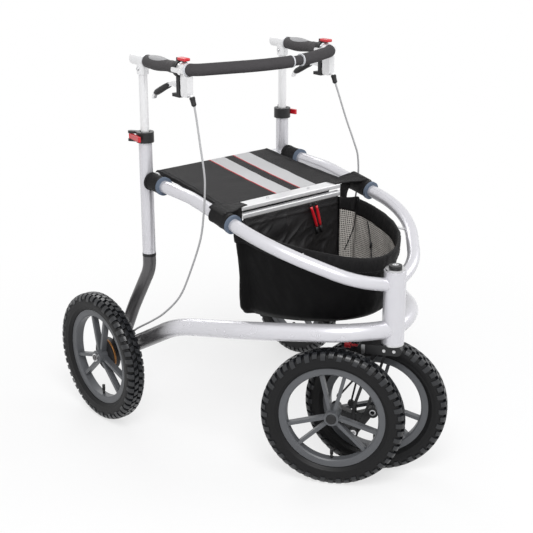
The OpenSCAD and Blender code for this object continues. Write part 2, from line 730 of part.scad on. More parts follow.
// Brake levers: a cranked blade on the housing's pin
blade_w = 9.6;
blade_l = 134;
blade_y_shares = [0, 0.373, 0.522, 0.955, 1];
blade_z_shares = [0, 0.03, -0.015, -0.239, -0.313];
blade_path = [for (i = [0 : 4]) [lever_pin_y, lever_pin_z] + [blade_y_shares[i], blade_z_shares[i]] * blade_l];
blade_widths = [11, 10, 9, 8];
module brake_lever(side) color(silver) at_bar(side) difference() {
    plate(-blade_w / 2, blade_w / 2) for (i = [0 : 3]) link(blade_path[i], blade_path[i + 1], blade_widths[i]);
    along_x(lever_pin_r + run_gap, -body_w, body_w, lever_pin_y, lever_pin_z);
}
module brake_lever_right() brake_lever(-1);
module brake_lever_left() brake_lever(1);

// Parking levers: a forked plate round the bar, a thumb tab on top and a foot under the blade
park_t = 12;
park_half = 21.3;
park_hole_r = 17;
park_top = 21;
park_low = 70;
park_leg_in = 5.8;
park_leg_out = 9.6;
park_foot_h = 8;
park_foot_back = 18;
tab_front = 26;
tab_t = 6;
tab_half = 8;
module park_lever(side) color(black) at_bar(side) difference() {
    y0 = park_y - park_t / 2;
    y1 = park_y + park_t / 2;
    union() {
        along_y(park_half, y0, y1, 0, bar_z);
        block([-tab_half, y0, bar_z], [tab_half, y1, bar_z + park_top + tab_t]);
        block([-tab_half, park_y - tab_front, bar_z + park_top], [tab_half, y1, bar_z + park_top + tab_t]);
        for (u = [-1, 1]) block([min(u * park_leg_in, u * park_leg_out), y0, bar_z - park_low],
            [max(u * park_leg_in, u * park_leg_out), y1, bar_z]);
        block([-park_leg_out, y0, bar_z - park_low],
            [park_leg_out, y1 + park_foot_back, bar_z - park_low + park_foot_h]);
    }
    along_y(park_hole_r, y0 - over, y1 + over, 0, bar_z);
    along_x(park_pin_r + run_gap, -park_half - over, park_half + over, park_y, bar_z);
}
module park_lever_right() park_lever(-1);
module park_lever_left() park_lever(1);

// A wheel in its own axes: the axle lies along z, the outside is +z and up is +y
rim_round = 3;
lug_depth = 6;
lug_gap = 8;
lug_inner = 9;
valve_r = 3;
valve_l = 28;
module tyre_shape() {
    flip = [for (i = [len(tyre_side) - 1 : -1 : 0]) [tyre_side[i][0], -tyre_side[i][1]]];
    difference() {
        rotate_extrude() polygon(concat(tyre_side, flip));
        for (k = [0 : lug_count - 1], u = [0, 1]) rotate(360 * (k + u / 2) / lug_count) mirror([0, 0, u])
            translate([tyre_r - lug_depth, -lug_gap / 2, lug_inner]) cube([lug_depth + over, lug_gap, tyre_w]);
    }
    rotate(-90) translate([rim_in_r - valve_l, 0, 0]) rotate([0, 90, 0])
        cylinder(r = valve_r, h = valve_l - seat_gap);
}
pair_angles = [90, 210, 330];
foot_half = 6;
head_half = 30;
foot_share = 0.85;
bearing_w = 10;
hub_face = 4;
module rim_shape(hub_in, hub_out) {
    half = rim_w / 2;
    difference() {
        union() {
            rotate_extrude() polygon([[rim_in_r, -half + rim_round], [rim_in_r + rim_round, -half],
                [rim_r, -half], [rim_r, -half + flange_t], [tyre_seat_r, -half + flange_t],
                [tyre_seat_r, half - flange_t], [rim_r, half - flange_t], [rim_r, half],
                [rim_in_r + rim_round, half], [rim_in_r, half - rim_round]]);
            translate([0, 0, -spoke_depth / 2]) linear_extrude(spoke_depth) for (a = pair_angles, u = [-1, 1])
                rotate(a) link([foot_share * hub_r, u * foot_half],
                    [rim_in_r + spoke_w / 4, u * head_half], spoke_w);
            translate([0, 0, -hub_in]) cylinder(r = hub_r, h = hub_in + hub_out);
        }
        translate([0, 0, -hub_in - over])
            cylinder(r = bearing_r + run_gap, h = hub_in + hub_out - hub_face + over);
        rotate_extrude() polygon([[tyre_seat_r, -half + flange_t], [rim_r + spoke_w, -half + flange_t],
            [rim_r + spoke_w, half - flange_t], [tyre_seat_r, half - flange_t]]);
    }
}
module bearing_at(z) translate([0, 0, z]) difference() {
    cylinder(r = bearing_r, h = bearing_w);
    translate([0, 0, -over]) cylinder(r = axle_r + ring_gap, h = bearing_w + 2 * over);
}
module wheel_axes(side, x, y) translate([x, y, axle_z]) side_view()
    if (side < 0) mirror([0, 0, 1]) children();
    else children();

// Rear wheels with the brake drum on the inner end of each hub
rear_hub_in = spoke_depth / 2 + seat_gap;
rear_hub_out = 18;
drum_r = drum_d / 2;
drum_wall = 5;
rear_head_r = 11;
rear_head_t = 6;
nut_t = 9;
nut_r = 13;
drum_face = 4;
module rear_axes(side) place() wheel_axes(side, side * rear_x, wheelbase) children();
module rear_tyre(side) color(black) rear_axes(side) tyre_shape();
module rear_rim(side) color(dark_grey) rear_axes(side) difference() {
    rim_shape(rear_hub_in, rear_hub_out);
    cylinder(r = axle_r + over, h = rear_hub_out + over);
}
module rear_drum(side) color(black) rear_axes(side) translate([0, 0, -rear_hub_in - drum_depth]) difference() {
    cylinder(r = drum_r, h = drum_depth);
    translate([0, 0, -over]) cylinder(r = drum_r - drum_wall, h = drum_depth - drum_face + over);
    cylinder(r = axle_r + over, h = drum_depth + over);
}
module rear_tyre_right() rear_tyre(-1);
module rear_tyre_left() rear_tyre(1);
module rear_rim_right() rear_rim(-1);
module rear_rim_left() rear_rim(1);
module rear_drum_right() rear_drum(-1);
module rear_drum_left() rear_drum(1);
plate_t = 5;
shoe_gap = 0.6;
shoe_r = drum_r - drum_wall - shoe_gap;
shoe_in_r = 30;
shoe_half = 60;
drum_in_x = rear_x - rear_hub_in - drum_depth;
plate_out = drum_in_x - seat_gap;
plate_in = plate_out - plate_t;
bracket_out = bracket_x + boss_half;
module rear_axles() color(steel) for (side = [-1, 1]) place() at_side(side) {
    axle_end = rear_x + rear_hub_out + seat_gap;
    along_x(axle_r, bracket_x - boss_half - nut_t, axle_end + rear_head_t, wheelbase, axle_z);
    along_x(rear_head_r, axle_end, axle_end + rear_head_t, wheelbase, axle_z);
    along_x(nut_r, bracket_x - boss_half - nut_t, bracket_x - boss_half, wheelbase, axle_z, $fn = 6);
    translate([rear_x, wheelbase, axle_z]) rotate([0, 90, 0])
        bearing_at(rear_hub_out - hub_face - bearing_w - seat_gap);
}
arm_t = 4.6;
arm_lead = 10;
arm_lift = 30;
arm_rise = 34;
arm_lean = 9;
arm_y = wheelbase - arm_lead;
arm_z = axle_z + arm_lift;
arm_tip_y = arm_y - arm_lean;
arm_w = 11;
arm_pin_r = 4;
arm_in = plate_in - seat_gap - arm_t;
module brake_plates() color(black) for (side = [-1, 1]) place() at_side(side) {
    difference() {
        union() {
            along_x(drum_r, plate_in, plate_out, wheelbase, axle_z);
            along_x(boss_r, bracket_out, plate_in, wheelbase, axle_z);
            along_x(arm_pin_r, arm_in - seat_gap, plate_in, arm_y, arm_z);
        }
        along_x(axle_r, bracket_out - over, plate_out + over, wheelbase, axle_z);
    }
    for (a = [90, 270]) translate([plate_out, wheelbase, axle_z]) rotate([0, 90, 0]) rotate(a - shoe_half)
        rotate_extrude(angle = 2 * shoe_half) translate([shoe_in_r, 0]) square([shoe_r - shoe_in_r,
            drum_depth - drum_face - seat_gap]);
}
wire_r = 1.4;
wire_l = 14;
module brake_arm(side) color(steel) place() at_side(side) difference() {
    union() {
        plate(arm_in, arm_in + arm_t) link([arm_y, arm_z], [arm_tip_y, arm_z + arm_rise], arm_w);
        along_y(wire_r, arm_tip_y - wire_l, arm_tip_y, arm_in + arm_t / 2, arm_z + arm_rise);
    }
    along_x(arm_pin_r + run_gap, arm_in - over, arm_in + arm_t + over, arm_y, arm_z);
}
module brake_arm_right() brake_arm(-1);
module brake_arm_left() brake_arm(1);

// Brake cables from the lever housings to the stops beside the lower tubes
cable_sides = 8;
cable_steps = 3;
stop_r = 6;
stop_bore_r = 4;
stop_l = 18;
stop_wall = 4;
wire_gap = 6;
stop_end = arm_tip_y - wire_l - wire_gap;
stop_x = arm_in + arm_t / 2;
stop_z = arm_z + arm_rise;
cable_gap = 1.8;
barrel_run = barrel_l + cable_gap;
cable_top = [side_x, barrel_y - barrel_run * sin(barrel_lean), barrel_z - barrel_run * cos(barrel_lean)];
cable_bow = 77;
bow_x_shares = [0, 0.068, 0.227, 0.409, 0.545, 0.636, 0.682, 0.818];
bow_y_shares = [0, 0.17, 0.51, 0.85, 0.985, 1, 0.865, 0.431];
bow_z_shares = [0, 0.064, 0.193, 0.316, 0.392, 0.511, 0.657, 0.848];
cable_side = 22;
cable_rise = 44;
run_shares = [0.029, 0.227, 0.399, 0.597, 0.69];
run_x_shares = [-0.77, -0.33, 0.05, 0.58, 0.91];
run_z_shares = [1.786, 1.189, 0.998, 0.898, 0.718];
cable_run = [for (i = [0 : 4]) lerp(lower[3], lower[4], run_shares[i])
    + [cable_side * run_x_shares[i], 0, cable_rise * run_z_shares[i]]];
function bow_at(i) = [fade(cable_top[0], cable_run[0][0], bow_x_shares[i]),
    fade(cable_top[1], cable_run[0][1], bow_z_shares[i]) - cable_bow * bow_y_shares[i],
    fade(cable_top[2], cable_run[0][2], bow_z_shares[i])];
mouth_gap = 0.54;
mouth_lead = [0, -8.4, 1];
cable_end = [stop_x, stop_end - stop_l - mouth_gap, stop_z];
cable_route = concat([for (i = [0 : 7]) bow_at(i)], cable_run, [cable_end + mouth_lead, cable_end]);
strut_w = 10;
module brake_cable(side) color(pale_grey) place() at_side(side)
    swept(smooth_route(cable_route, cable_steps), cable_r, cable_sides);
module brake_cable_right() brake_cable(-1);
module brake_cable_left() brake_cable(1);
module cable_stops() color(black) place() both() difference() {
    union() {
        along_y(stop_r, stop_end - stop_l, stop_end, stop_x, stop_z);
        translate([0, stop_end - strut_w, 0]) rotate([90, 0, 0]) translate([0, 0, -strut_w / 2])
            linear_extrude(strut_w / 2) link([stop_x, stop_z], [bracket_x, stop_z - arm_rise], strut_w);
    }
    along_y(stop_bore_r, stop_end - stop_l + stop_wall, stop_end + over, stop_x, stop_z);
    bent_tube(lower, lower_bends, lower_r + weld_gap);
}

// Fork: the crown with its steerer, two blades, the rocker pin, the stop rods and the lock knob
crown_gap = 0.4;
crown_top = head_low - race_lip - crown_gap;
crown_z = crown_top - crown_h / 2;
crown_front = -11;
crown_back = 70;
steerer_top = head_high + top_race_lip + crown_gap;
cap_h = 7;
cap_top_r = 16;
knob_pin_r = 3;
knob_bore = 34;
module crown_profile() link([crown_front, crown_z], [crown_back, crown_z], crown_h);
module fork_crown() color(black) in_fork() difference() {
    union() {
        plate(-crown_w / 2, crown_w / 2) crown_profile();
        upright_rod(steerer_r, crown_z, steerer_top, 0, 0);
        upright_rod(cap_top_r, steerer_top, steerer_top + cap_h, 0, 0);
    }
    along_y(knob_pin_r + run_gap, crown_back + crown_h / 2 - knob_bore, crown_back + crown_h, 0, crown_z);
}
blade_in = rocker_t / 2 + seat_gap;
blade_out = blade_in + blade_t;
blade_foot_r = 13;
rear_bar_w = 8;
front_bar_w = 7;
blade_top_shares = [0.3, 0.62];
elbow_rise = 70;
front_elbow_y_share = 0.66;
pin_bore_r = 5;
pin_r = axle_r;
module fork_blades() color(black) in_fork() for (u = [-1, 1]) difference() {
    top_front = fade(crown_front, crown_back, blade_top_shares[0]);
    top_rear = fade(crown_front, crown_back, blade_top_shares[1]);
    plate(min(u * blade_in, u * blade_out), max(u * blade_in, u * blade_out)) {
        translate([trail, pivot_z]) circle(blade_foot_r);
        link([trail, pivot_z], [trail, pivot_z + elbow_rise], rear_bar_w);
        link([trail, pivot_z + elbow_rise], [top_rear, crown_z], rear_bar_w);
        if (u < 0) {
            link([trail, pivot_z], [front_elbow_y_share * trail, axle_z], front_bar_w);
            link([front_elbow_y_share * trail, axle_z], [top_front, crown_z], front_bar_w);
        }
    }
    plate(-crown_w, crown_w) crown_profile();
    along_x(pin_r, -crown_w, crown_w, trail, pivot_z);
}
bolt_r = 4;
bolt_t = 2.5;
bolt_y_shares = [0.06, 0.36];
strap_t = 2;
strap_w = 9;
strap_y_share = 0.98;
module fork_hardware() color(steel) in_fork() {
    difference() {
        along_x(pin_r, -blade_out, blade_out, trail, pivot_z);
        along_x(pin_bore_r, -blade_out - over, blade_out + over, trail, pivot_z);
    }
    for (s = bolt_y_shares) along_x(bolt_r, -crown_w / 2 - bolt_t, -crown_w / 2,
        fade(crown_front, crown_back, s), crown_z);
    plate(-crown_w / 2 - strap_t, -crown_w / 2) translate([strap_y_share * crown_back, crown_z])
        rounded([strap_w, crown_h - strap_t], strap_t);
}
stop_rod_r = 2.5;
stop_rod_x = 6;
check_back = 38;
check_lift = 36;
check_foot = [trail + check_back, axle_z + check_lift];
check_top_share = 0.42;
strut_back = 10;
strut_lift = 14;
strut_foot = [trail + strut_back, axle_z + strut_lift];
strut_top_share = 0.95;
check_r = 6;
strut_r = 8;
stop_half = 8;
module fork_stops() color(black) in_fork() difference() {
    union() {
        rod(stop_rod_r, [-stop_rod_x, fade(crown_front, crown_back, check_top_share), crown_z],
            [-stop_rod_x, check_foot[0], check_foot[1]]);
        along_x(check_r, -stop_rod_x - stop_half / 2, -stop_rod_x + stop_half / 2,
            check_foot[0], check_foot[1]);
        rod(stop_rod_r, [stop_rod_x, fade(crown_front, crown_back, strut_top_share), crown_z],
            [stop_rod_x, strut_foot[0], strut_foot[1]]);
        along_x(strut_r, stop_rod_x - stop_half / 2, stop_rod_x + stop_half / 2,
            strut_foot[0], strut_foot[1]);
    }
    plate(-crown_w, crown_w) crown_profile();
}
knob_r = 8;
knob_l = 15;
knob_gap = 18;
knob_start = crown_back + crown_h / 2 + knob_gap;
module lock_knob() color(red) in_fork() {
    along_y(knob_pin_r, crown_back + crown_h / 2 - knob_bore + knob_gap, knob_start, 0, crown_z);
    along_y(knob_r, knob_start, knob_start + knob_l, 0, crown_z);
}

// Rocker: a V-shaped beam with an axle at each upper end and its pin below them
rocker_boss_r = 14;
rocker_foot_r = 13;
rocker_arm_half = 7;
dip = 16;
rocker_hole_r = 8;
rocker_hole_drop = 29;
module rocker() color(black) in_fork() difference() {
    union() {
        for (y = [left_back, right_back]) along_x(rocker_boss_r, -rocker_t / 2, rocker_t / 2, y, axle_z);
        along_x(rocker_foot_r, -rocker_t / 2, rocker_t / 2, trail, pivot_z);
        plate(-rocker_t / 2, rocker_t / 2) polygon([[left_back, axle_z + rocker_arm_half],
            [trail, axle_z - dip + rocker_arm_half], [right_back, axle_z + rocker_arm_half],
            [right_back, axle_z - rocker_arm_half], [trail + rocker_foot_r, pivot_z],
            [trail - rocker_foot_r, pivot_z], [left_back, axle_z - rocker_arm_half]]);
    }
    along_x(rocker_hole_r, -crown_w, crown_w, trail, axle_z - rocker_hole_drop);
    along_x(pin_r + run_gap, -crown_w, crown_w, trail, pivot_z);
    for (y = [left_back, right_back]) along_x(axle_r, -crown_w, crown_w, y, axle_z);
}
front_hub_out = 18;
hub_start = blade_out + seat_gap;
front_hub_in = pair_half - hub_start;
axle_bore_r = 5;
module front_axle(side, y) {
    difference() {
        along_x(axle_r, min(-side * rocker_t / 2, side * (pair_half + front_hub_out - hub_face - seat_gap)),
            max(-side * rocker_t / 2, side * (pair_half + front_hub_out - hub_face - seat_gap)), y, axle_z);
        along_x(axle_bore_r, -pair_spacing, pair_spacing, y, axle_z);
    }
    wheel_axes(side, side * pair_half, y)
        for (z = [-front_hub_in, front_hub_out - hub_face - bearing_w - seat_gap]) bearing_at(z);
}
module front_axles() color(steel) in_fork() {
    front_axle(-1, right_back);
    front_axle(1, left_back);
}
module front_rim(side, y) color(dark_grey) in_fork() wheel_axes(side, side * pair_half, y)
    rim_shape(front_hub_in, front_hub_out);
module front_tyre(side, y) color(black) in_fork() wheel_axes(side, side * pair_half, y) tyre_shape();
module front_rim_right() front_rim(-1, right_back);
module front_rim_left() front_rim(1, left_back);
module front_tyre_right() front_tyre(-1, right_back);
module front_tyre_left() front_tyre(1, left_back);

head_tube();
headset_races();
top_tube_right();
top_tube_left();
lower_tube_right();
lower_tube_left();
upright_right();
upright_left();
lower_leg_right();
lower_leg_left();
rear_brackets();
seat_bars();
small_fasteners();
seat_panel();
seat_sleeves();
sleeve_rings();
bag();
bag_rim();
zip_pulls();
collars();
upright_rings();
rear_axles();
brake_plates();
brake_cable_right();
brake_cable_left();
cable_stops();
cam_lever_right();
cam_lever_left();
handlebar_tube();
handle_legs();
handle_elbows();
foam_sleeves();
foam_rings();
grip_right();
grip_left();
brake_body_right();
brake_body_left();
brake_lever_right();
brake_lever_left();
park_lever_right();
park_lever_left();
brake_arm_right();
brake_arm_left();
rear_tyre_right();
rear_rim_right();
rear_drum_right();
rear_tyre_left();
rear_rim_left();
rear_drum_left();
fork_crown();
fork_blades();
fork_hardware();
fork_stops();
lock_knob();
rocker();
front_axles();
front_tyre_right();
front_rim_right();
front_tyre_left();
front_rim_left();
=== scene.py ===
# %% [markdown]
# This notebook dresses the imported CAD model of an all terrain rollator: a walking frame with four
# air tyres, a sling seat, a soft bag and drum brakes. The CAD model already has every hard part at
# its true size, so Blender only adds what CAD is poor at: cloth, tread, soft grips, small trim and
# surfaces. Rebuilding the tubes here would be possible too, but then two models would have to agree.

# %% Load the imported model
import json
import math

import bmesh
import bpy
from mathutils import Matrix, Vector, noise


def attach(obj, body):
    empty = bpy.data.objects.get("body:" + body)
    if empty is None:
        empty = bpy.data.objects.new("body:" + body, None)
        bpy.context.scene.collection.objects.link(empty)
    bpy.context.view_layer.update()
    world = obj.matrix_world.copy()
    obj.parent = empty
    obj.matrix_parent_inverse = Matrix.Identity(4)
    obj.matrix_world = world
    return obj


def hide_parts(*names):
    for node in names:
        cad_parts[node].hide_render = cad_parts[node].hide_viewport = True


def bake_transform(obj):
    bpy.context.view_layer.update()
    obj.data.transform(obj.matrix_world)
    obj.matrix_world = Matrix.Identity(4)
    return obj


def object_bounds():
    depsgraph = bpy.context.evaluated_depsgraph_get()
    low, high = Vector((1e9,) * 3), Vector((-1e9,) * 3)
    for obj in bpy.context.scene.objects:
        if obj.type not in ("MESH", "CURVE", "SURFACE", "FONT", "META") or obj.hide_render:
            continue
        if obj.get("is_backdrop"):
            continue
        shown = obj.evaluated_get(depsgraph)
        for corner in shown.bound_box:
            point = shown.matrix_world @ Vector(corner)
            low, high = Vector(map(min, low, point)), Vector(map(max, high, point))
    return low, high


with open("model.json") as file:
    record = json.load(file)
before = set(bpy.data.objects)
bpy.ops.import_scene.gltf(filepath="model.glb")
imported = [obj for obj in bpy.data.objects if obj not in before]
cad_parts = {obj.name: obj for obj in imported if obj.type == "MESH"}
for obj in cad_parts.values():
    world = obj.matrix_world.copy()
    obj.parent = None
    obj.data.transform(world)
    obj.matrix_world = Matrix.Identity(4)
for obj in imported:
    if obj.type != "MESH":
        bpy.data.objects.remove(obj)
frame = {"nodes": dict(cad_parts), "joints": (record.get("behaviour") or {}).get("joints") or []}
cad_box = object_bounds()
nodes = frame["nodes"]
joints = {j["name"]: j for j in frame["joints"]}

# %% [markdown]
# Everything is in metres with forward along -Y, the user's left along +X and up along +Z. The CAD
# source measures in millimetres backwards from the axis that the front fork turns on, so places
# are written that way here and turned into metres by one function. That keeps the numbers short
# and lets a reader hold a ruler to them. The fork has axes of its own, because it stands turned.

# %% Places in millimetres
swivel = Vector(joints["fork_swivel"]["pos_m"])
lateral = Vector(joints["rocker_tilt"]["axis"]).normalized()
UP = Vector((0, 0, 1))
FORK = Matrix.Identity(4)
for row in range(3):
    FORK[row][0] = lateral[row]
    FORK[row][1] = UP.cross(lateral)[row]
    FORK[row][3] = (swivel.x, swivel.y, 0)[row]
SIDES = {"right": -1, "left": 1}
SIDE_X = 234.0  # half the distance between the two uprights


def at(x, y, z):
    """A place in millimetres from the fork's axis and the floor, in metres of the row frame."""
    return Vector((x, y + swivel.y * 1000, z)) / 1000


def mm(x, y, z):
    """A vector in millimetres, in metres."""
    return Vector((x, y, z)) / 1000


def fade(a, b, t):
    """The value that lies a share t of the way from a to b."""
    return a + (b - a) * t


def ease(t):
    """A smooth step from 0 to 1."""
    t = min(1.0, max(0.0, t))
    return t * t * (3 - 2 * t)


def wander(x, y, z):
    """Smooth noise that swings about zero."""
    return noise.noise(Vector((x, y, z)))


print("fork axis at", tuple(round(v, 4) for v in swivel))

# %% [markdown]
# Most pieces below are lofts: rings of points joined by faces. Modifiers or curves could make many
# of them, but a loft written as plain loops shows where every point comes from, and its shape can
# be bent by any formula. A closed sheet of cloth is a loft as well, with a top, an underside and
# a strip round the edge, so light never leaks through it.

# %% Making meshes
def new_mesh(name, verts, faces):
    """A smoothly shaded mesh whose faces point outwards."""
    mesh = bpy.data.meshes.new(name)
    mesh.from_pydata([tuple(v) for v in verts], [], faces)
    mesh.validate()
    bm = bmesh.new()
    bm.from_mesh(mesh)
    bmesh.ops.recalc_face_normals(bm, faces=bm.faces[:])
    bm.to_mesh(mesh)
    bm.free()
    for poly in mesh.polygons:
        poly.use_smooth = True
    return mesh


def put(name, mesh, body, mat, matrix=None):
    """Place a mesh as a piece that moves with a CAD body, or that is attached to no body if body is None."""
    ob = bpy.data.objects.new(name, mesh)
    bpy.context.scene.collection.objects.link(ob)
    if matrix is not None:
        ob.matrix_world = matrix
    if not mesh.materials:
        mesh.materials.append(mat)
    if body is not None:
        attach(ob, body)
    return ob


def piece(name, verts, faces, body, mat, slot, sharp=None):
    """A new mesh as a piece; edges that turn by more than sharp degrees stay sharp."""
    mesh = new_mesh(name, verts, faces)
    if sharp is not None:
        mesh.set_sharp_from_angle(angle=math.radians(sharp))
    return put(name, mesh, body, mat)


def merge(parts):
    """Several shapes, each of points and faces, as one."""
    verts, faces = [], []
    for v, f in parts:
        base = len(verts)
        verts += v
        faces += [tuple(i + base for i in face) for face in f]
    return verts, faces


# %% Lofts, tubes and screw heads
def loft(rings, closed_ring=True, cap=True):
    """Rings of points joined by faces, with a face over each end."""
    n = len(rings[0])
    verts = [v for ring in rings for v in ring]
    faces = []
    for i in range(len(rings) - 1):
        for k in range(n if closed_ring else n - 1):
            a, b = i * n + k, i * n + (k + 1) % n
            faces.append((a, b, b + n, a + n))
    if cap:
        faces.append(tuple(range(n - 1, -1, -1)))
        faces.append(tuple((len(rings) - 1) * n + k for k in range(n)))
    return verts, faces


def ring_about(centre, direction, radii, sides=20, hint=UP):
    """Points round a centre, square to a direction; radii are the half sizes across and up."""
    d = direction.normalized()
    u = d.cross(hint)
    u = u.normalized() if u.length > 1e-6 else Vector((1, 0, 0))
    v = u.cross(d)
    turns = [2 * math.pi * k / sides for k in range(sides)]
    return [centre + u * (radii[0] * math.cos(a)) + v * (radii[1] * math.sin(a)) for a in turns]


def tube(path, radius, sides=16, hint=UP):
    """A round tube; radius is a number, or a function of the share of the way along."""
    rings = []
    for i, p in enumerate(path):
        d = path[min(i + 1, len(path) - 1)] - path[max(i - 1, 0)]
        r = radius(i / (len(path) - 1)) if callable(radius) else radius
        rings.append(ring_about(p, d, (r, r), sides, hint))
    return loft(rings)


def bolt(p, direction, r, h, sides=20):
    """A low round head with a sunk socket."""
    d = direction.normalized()
    steps = ((0, 1), (0.75, 1), (1, 0.82), (1, 0.5), (0.45, 0.46))
    return loft([ring_about(p + d * h * up, d, (r * out,) * 2, sides) for up, out in steps])


# %% Cloth sheets and stitches
def sheet(surface, nu, nv, thick, way=Vector((0, 0, -1))):
    """A closed cloth behind a surface of u from -1 to 1 and v from 0 to 1, in millimetres."""
    verts, faces = [], []
    for layer in (0.0, thick):
        for i in range(nu + 1):
            for j in range(nv + 1):
                verts.append(at(*(surface(2 * i / nu - 1, j / nv) + way * layer)))
    low = (nu + 1) * (nv + 1)
    for i in range(nu):
        for j in range(nv):
            a, b = i * (nv + 1) + j, (i + 1) * (nv + 1) + j
            faces.append((a, b, b + 1, a + 1))
            faces.append((low + a, low + a + 1, low + b + 1, low + b))
    edge = [i * (nv + 1) for i in range(nu + 1)] + [nu * (nv + 1) + j for j in range(1, nv + 1)]
    edge += [i * (nv + 1) + nv for i in range(nu - 1, -1, -1)] + [j for j in range(nv - 1, 0, -1)]
    for k in range(len(edge)):
        a, b = edge[k], edge[(k + 1) % len(edge)]
        faces.append((b, a, a + low, b + low))
    return verts, faces


def stitches(path, pitch=5.0, share=0.62, r=0.55):
    """A row of short sewn threads along a path in millimetres."""
    parts, run, start = [], 0.0, path[0]
    for p, q in zip(path, path[1:]):
        run += (q - p).length
        if run >= pitch:
            end = start.lerp(q, share)
            parts.append(tube([at(*start), at(*start.lerp(end, 0.5)), at(*end)], r / 1000, 6))
            start, run = q, 0.0
    return merge(parts)


def cloth_area(ob):
    """Area of one face of a thin closed sheet, in square metres."""
    return sum(p.area for p in ob.data.polygons) / 2


print("helpers ready")

# %% [markdown]
# Real surfaces are never one flat colour. Paint has a fine orange peel, rubber is mottled and cloth
# shows its threads. Effects that several finishes share are shader node groups: each is built once
# and placed in a material with its own numbers. Copying the nodes into every material would work,
# but a change would then have to be made many times. The groups put out only colours, values and
# normals; the shader itself stays in the material.

# %% Helpers for shader nodes
def group(name, inputs, outputs):
    """A new node group with its sockets, and the nodes that stand for them."""
    g = bpy.data.node_groups.new(name, "ShaderNodeTree")
    for label, kind, value in inputs:
        s = g.interface.new_socket(label, in_out="INPUT", socket_type=kind)
        if value is not None:
            s.default_value = value
    for label, kind in outputs:
        g.interface.new_socket(label, in_out="OUTPUT", socket_type=kind)
    return g, g.nodes.new("NodeGroupInput"), g.nodes.new("NodeGroupOutput")


def sums(tree, op, a, b=None):
    """A Math node; a and b are numbers or sockets."""
    n = tree.nodes.new("ShaderNodeMath")
    n.operation = op
    for i, v in enumerate((a, b)):
        if isinstance(v, (int, float)):
            n.inputs[i].default_value = v
        elif v is not None:
            tree.links.new(v, n.inputs[i])
    return n.outputs[0]


def object_axes(tree):
    """The x, y and z sockets of the shaded place in the object's own axes."""
    coord = tree.nodes.new("ShaderNodeTexCoord")
    split = tree.nodes.new("ShaderNodeSeparateXYZ")
    tree.links.new(coord.outputs["Object"], split.inputs[0])
    return split.outputs


def blend_colour(tree, factor, a, b):
    """A colour between a and b, each of them a colour or a socket."""
    n = tree.nodes.new("ShaderNodeMix")
    n.data_type = "RGBA"
    for key, v in (("Factor", factor), ("A", a), ("B", b)):
        if isinstance(v, tuple):
            n.inputs[key].default_value = v
        else:
            tree.links.new(v, n.inputs[key])
    return n.outputs["Result"]


def object_noise(tree, scale, detail):
    """Noise laid out in the object's own axes."""
    coord = tree.nodes.new("ShaderNodeTexCoord")
    tex = tree.nodes.new("ShaderNodeTexNoise")
    tex.inputs["Detail"].default_value = detail
    tree.links.new(coord.outputs["Object"], tex.inputs["Vector"])
    tree.links.new(scale, tex.inputs["Scale"])
    return tex.outputs["Fac"]


def add_bump(tree, height, strength, distance):
    """The normal of a bump with that height."""
    bump = tree.nodes.new("ShaderNodeBump")
    bump.inputs["Distance"].default_value = distance
    tree.links.new(height, bump.inputs["Height"])
    tree.links.new(strength, bump.inputs["Strength"])
    return bump.outputs["Normal"]


# %% Grain and mottle groups
def make_grain():
    """A fine bump, such as orange peel in paint or the skin of moulded plastic."""
    g, gin, gout = group("surface_grain", [("Scale", "NodeSocketFloat", 400.0),
                                           ("Strength", "NodeSocketFloat", 0.1)],
                         [("Normal", "NodeSocketVector")])
    height = object_noise(g, gin.outputs["Scale"], 3)
    g.links.new(add_bump(g, height, gin.outputs["Strength"], 0.0005), gout.inputs["Normal"])
    return g


def make_mottle():
    """Slow changes of shade and gloss over a surface."""
    g, gin, gout = group("slow_mottle", [("Colour", "NodeSocketColor", None),
                                         ("Roughness", "NodeSocketFloat", 0.5),
                                         ("Amount", "NodeSocketFloat", 0.1),
                                         ("Scale", "NodeSocketFloat", 12.0)],
                         [("Colour", "NodeSocketColor"), ("Roughness", "NodeSocketFloat")])
    swing = sums(g, "SUBTRACT", object_noise(g, gin.outputs["Scale"], 5), 0.5)
    swing = sums(g, "MULTIPLY", swing, gin.outputs["Amount"])
    shade = g.nodes.new("ShaderNodeVectorMath")
    shade.operation = "SCALE"
    g.links.new(gin.outputs["Colour"], shade.inputs[0])
    g.links.new(sums(g, "ADD", swing, 1.0), shade.inputs["Scale"])
    g.links.new(shade.outputs[0], gout.inputs["Colour"])
    gloss = sums(g, "SUBTRACT", gin.outputs["Roughness"], sums(g, "MULTIPLY", swing, 0.4))
    g.links.new(gloss, gout.inputs["Roughness"])
    return g


# %% Thread and net groups
def make_weave():
    """Crossing threads, as a bump."""
    g, gin, gout = group("woven_threads", [("Threads", "NodeSocketFloat", 4000.0),
                                           ("Strength", "NodeSocketFloat", 0.3)],
                         [("Normal", "NodeSocketVector")])
    waves = [sums(g, "SINE", sums(g, "MULTIPLY", axis, gin.outputs["Threads"])) for axis in object_axes(g)]
    height = sums(g, "ADD", sums(g, "ADD", waves[0], waves[1]), waves[2])
    g.links.new(add_bump(g, height, gin.outputs["Strength"], 0.0004), gout.inputs["Normal"])
    return g


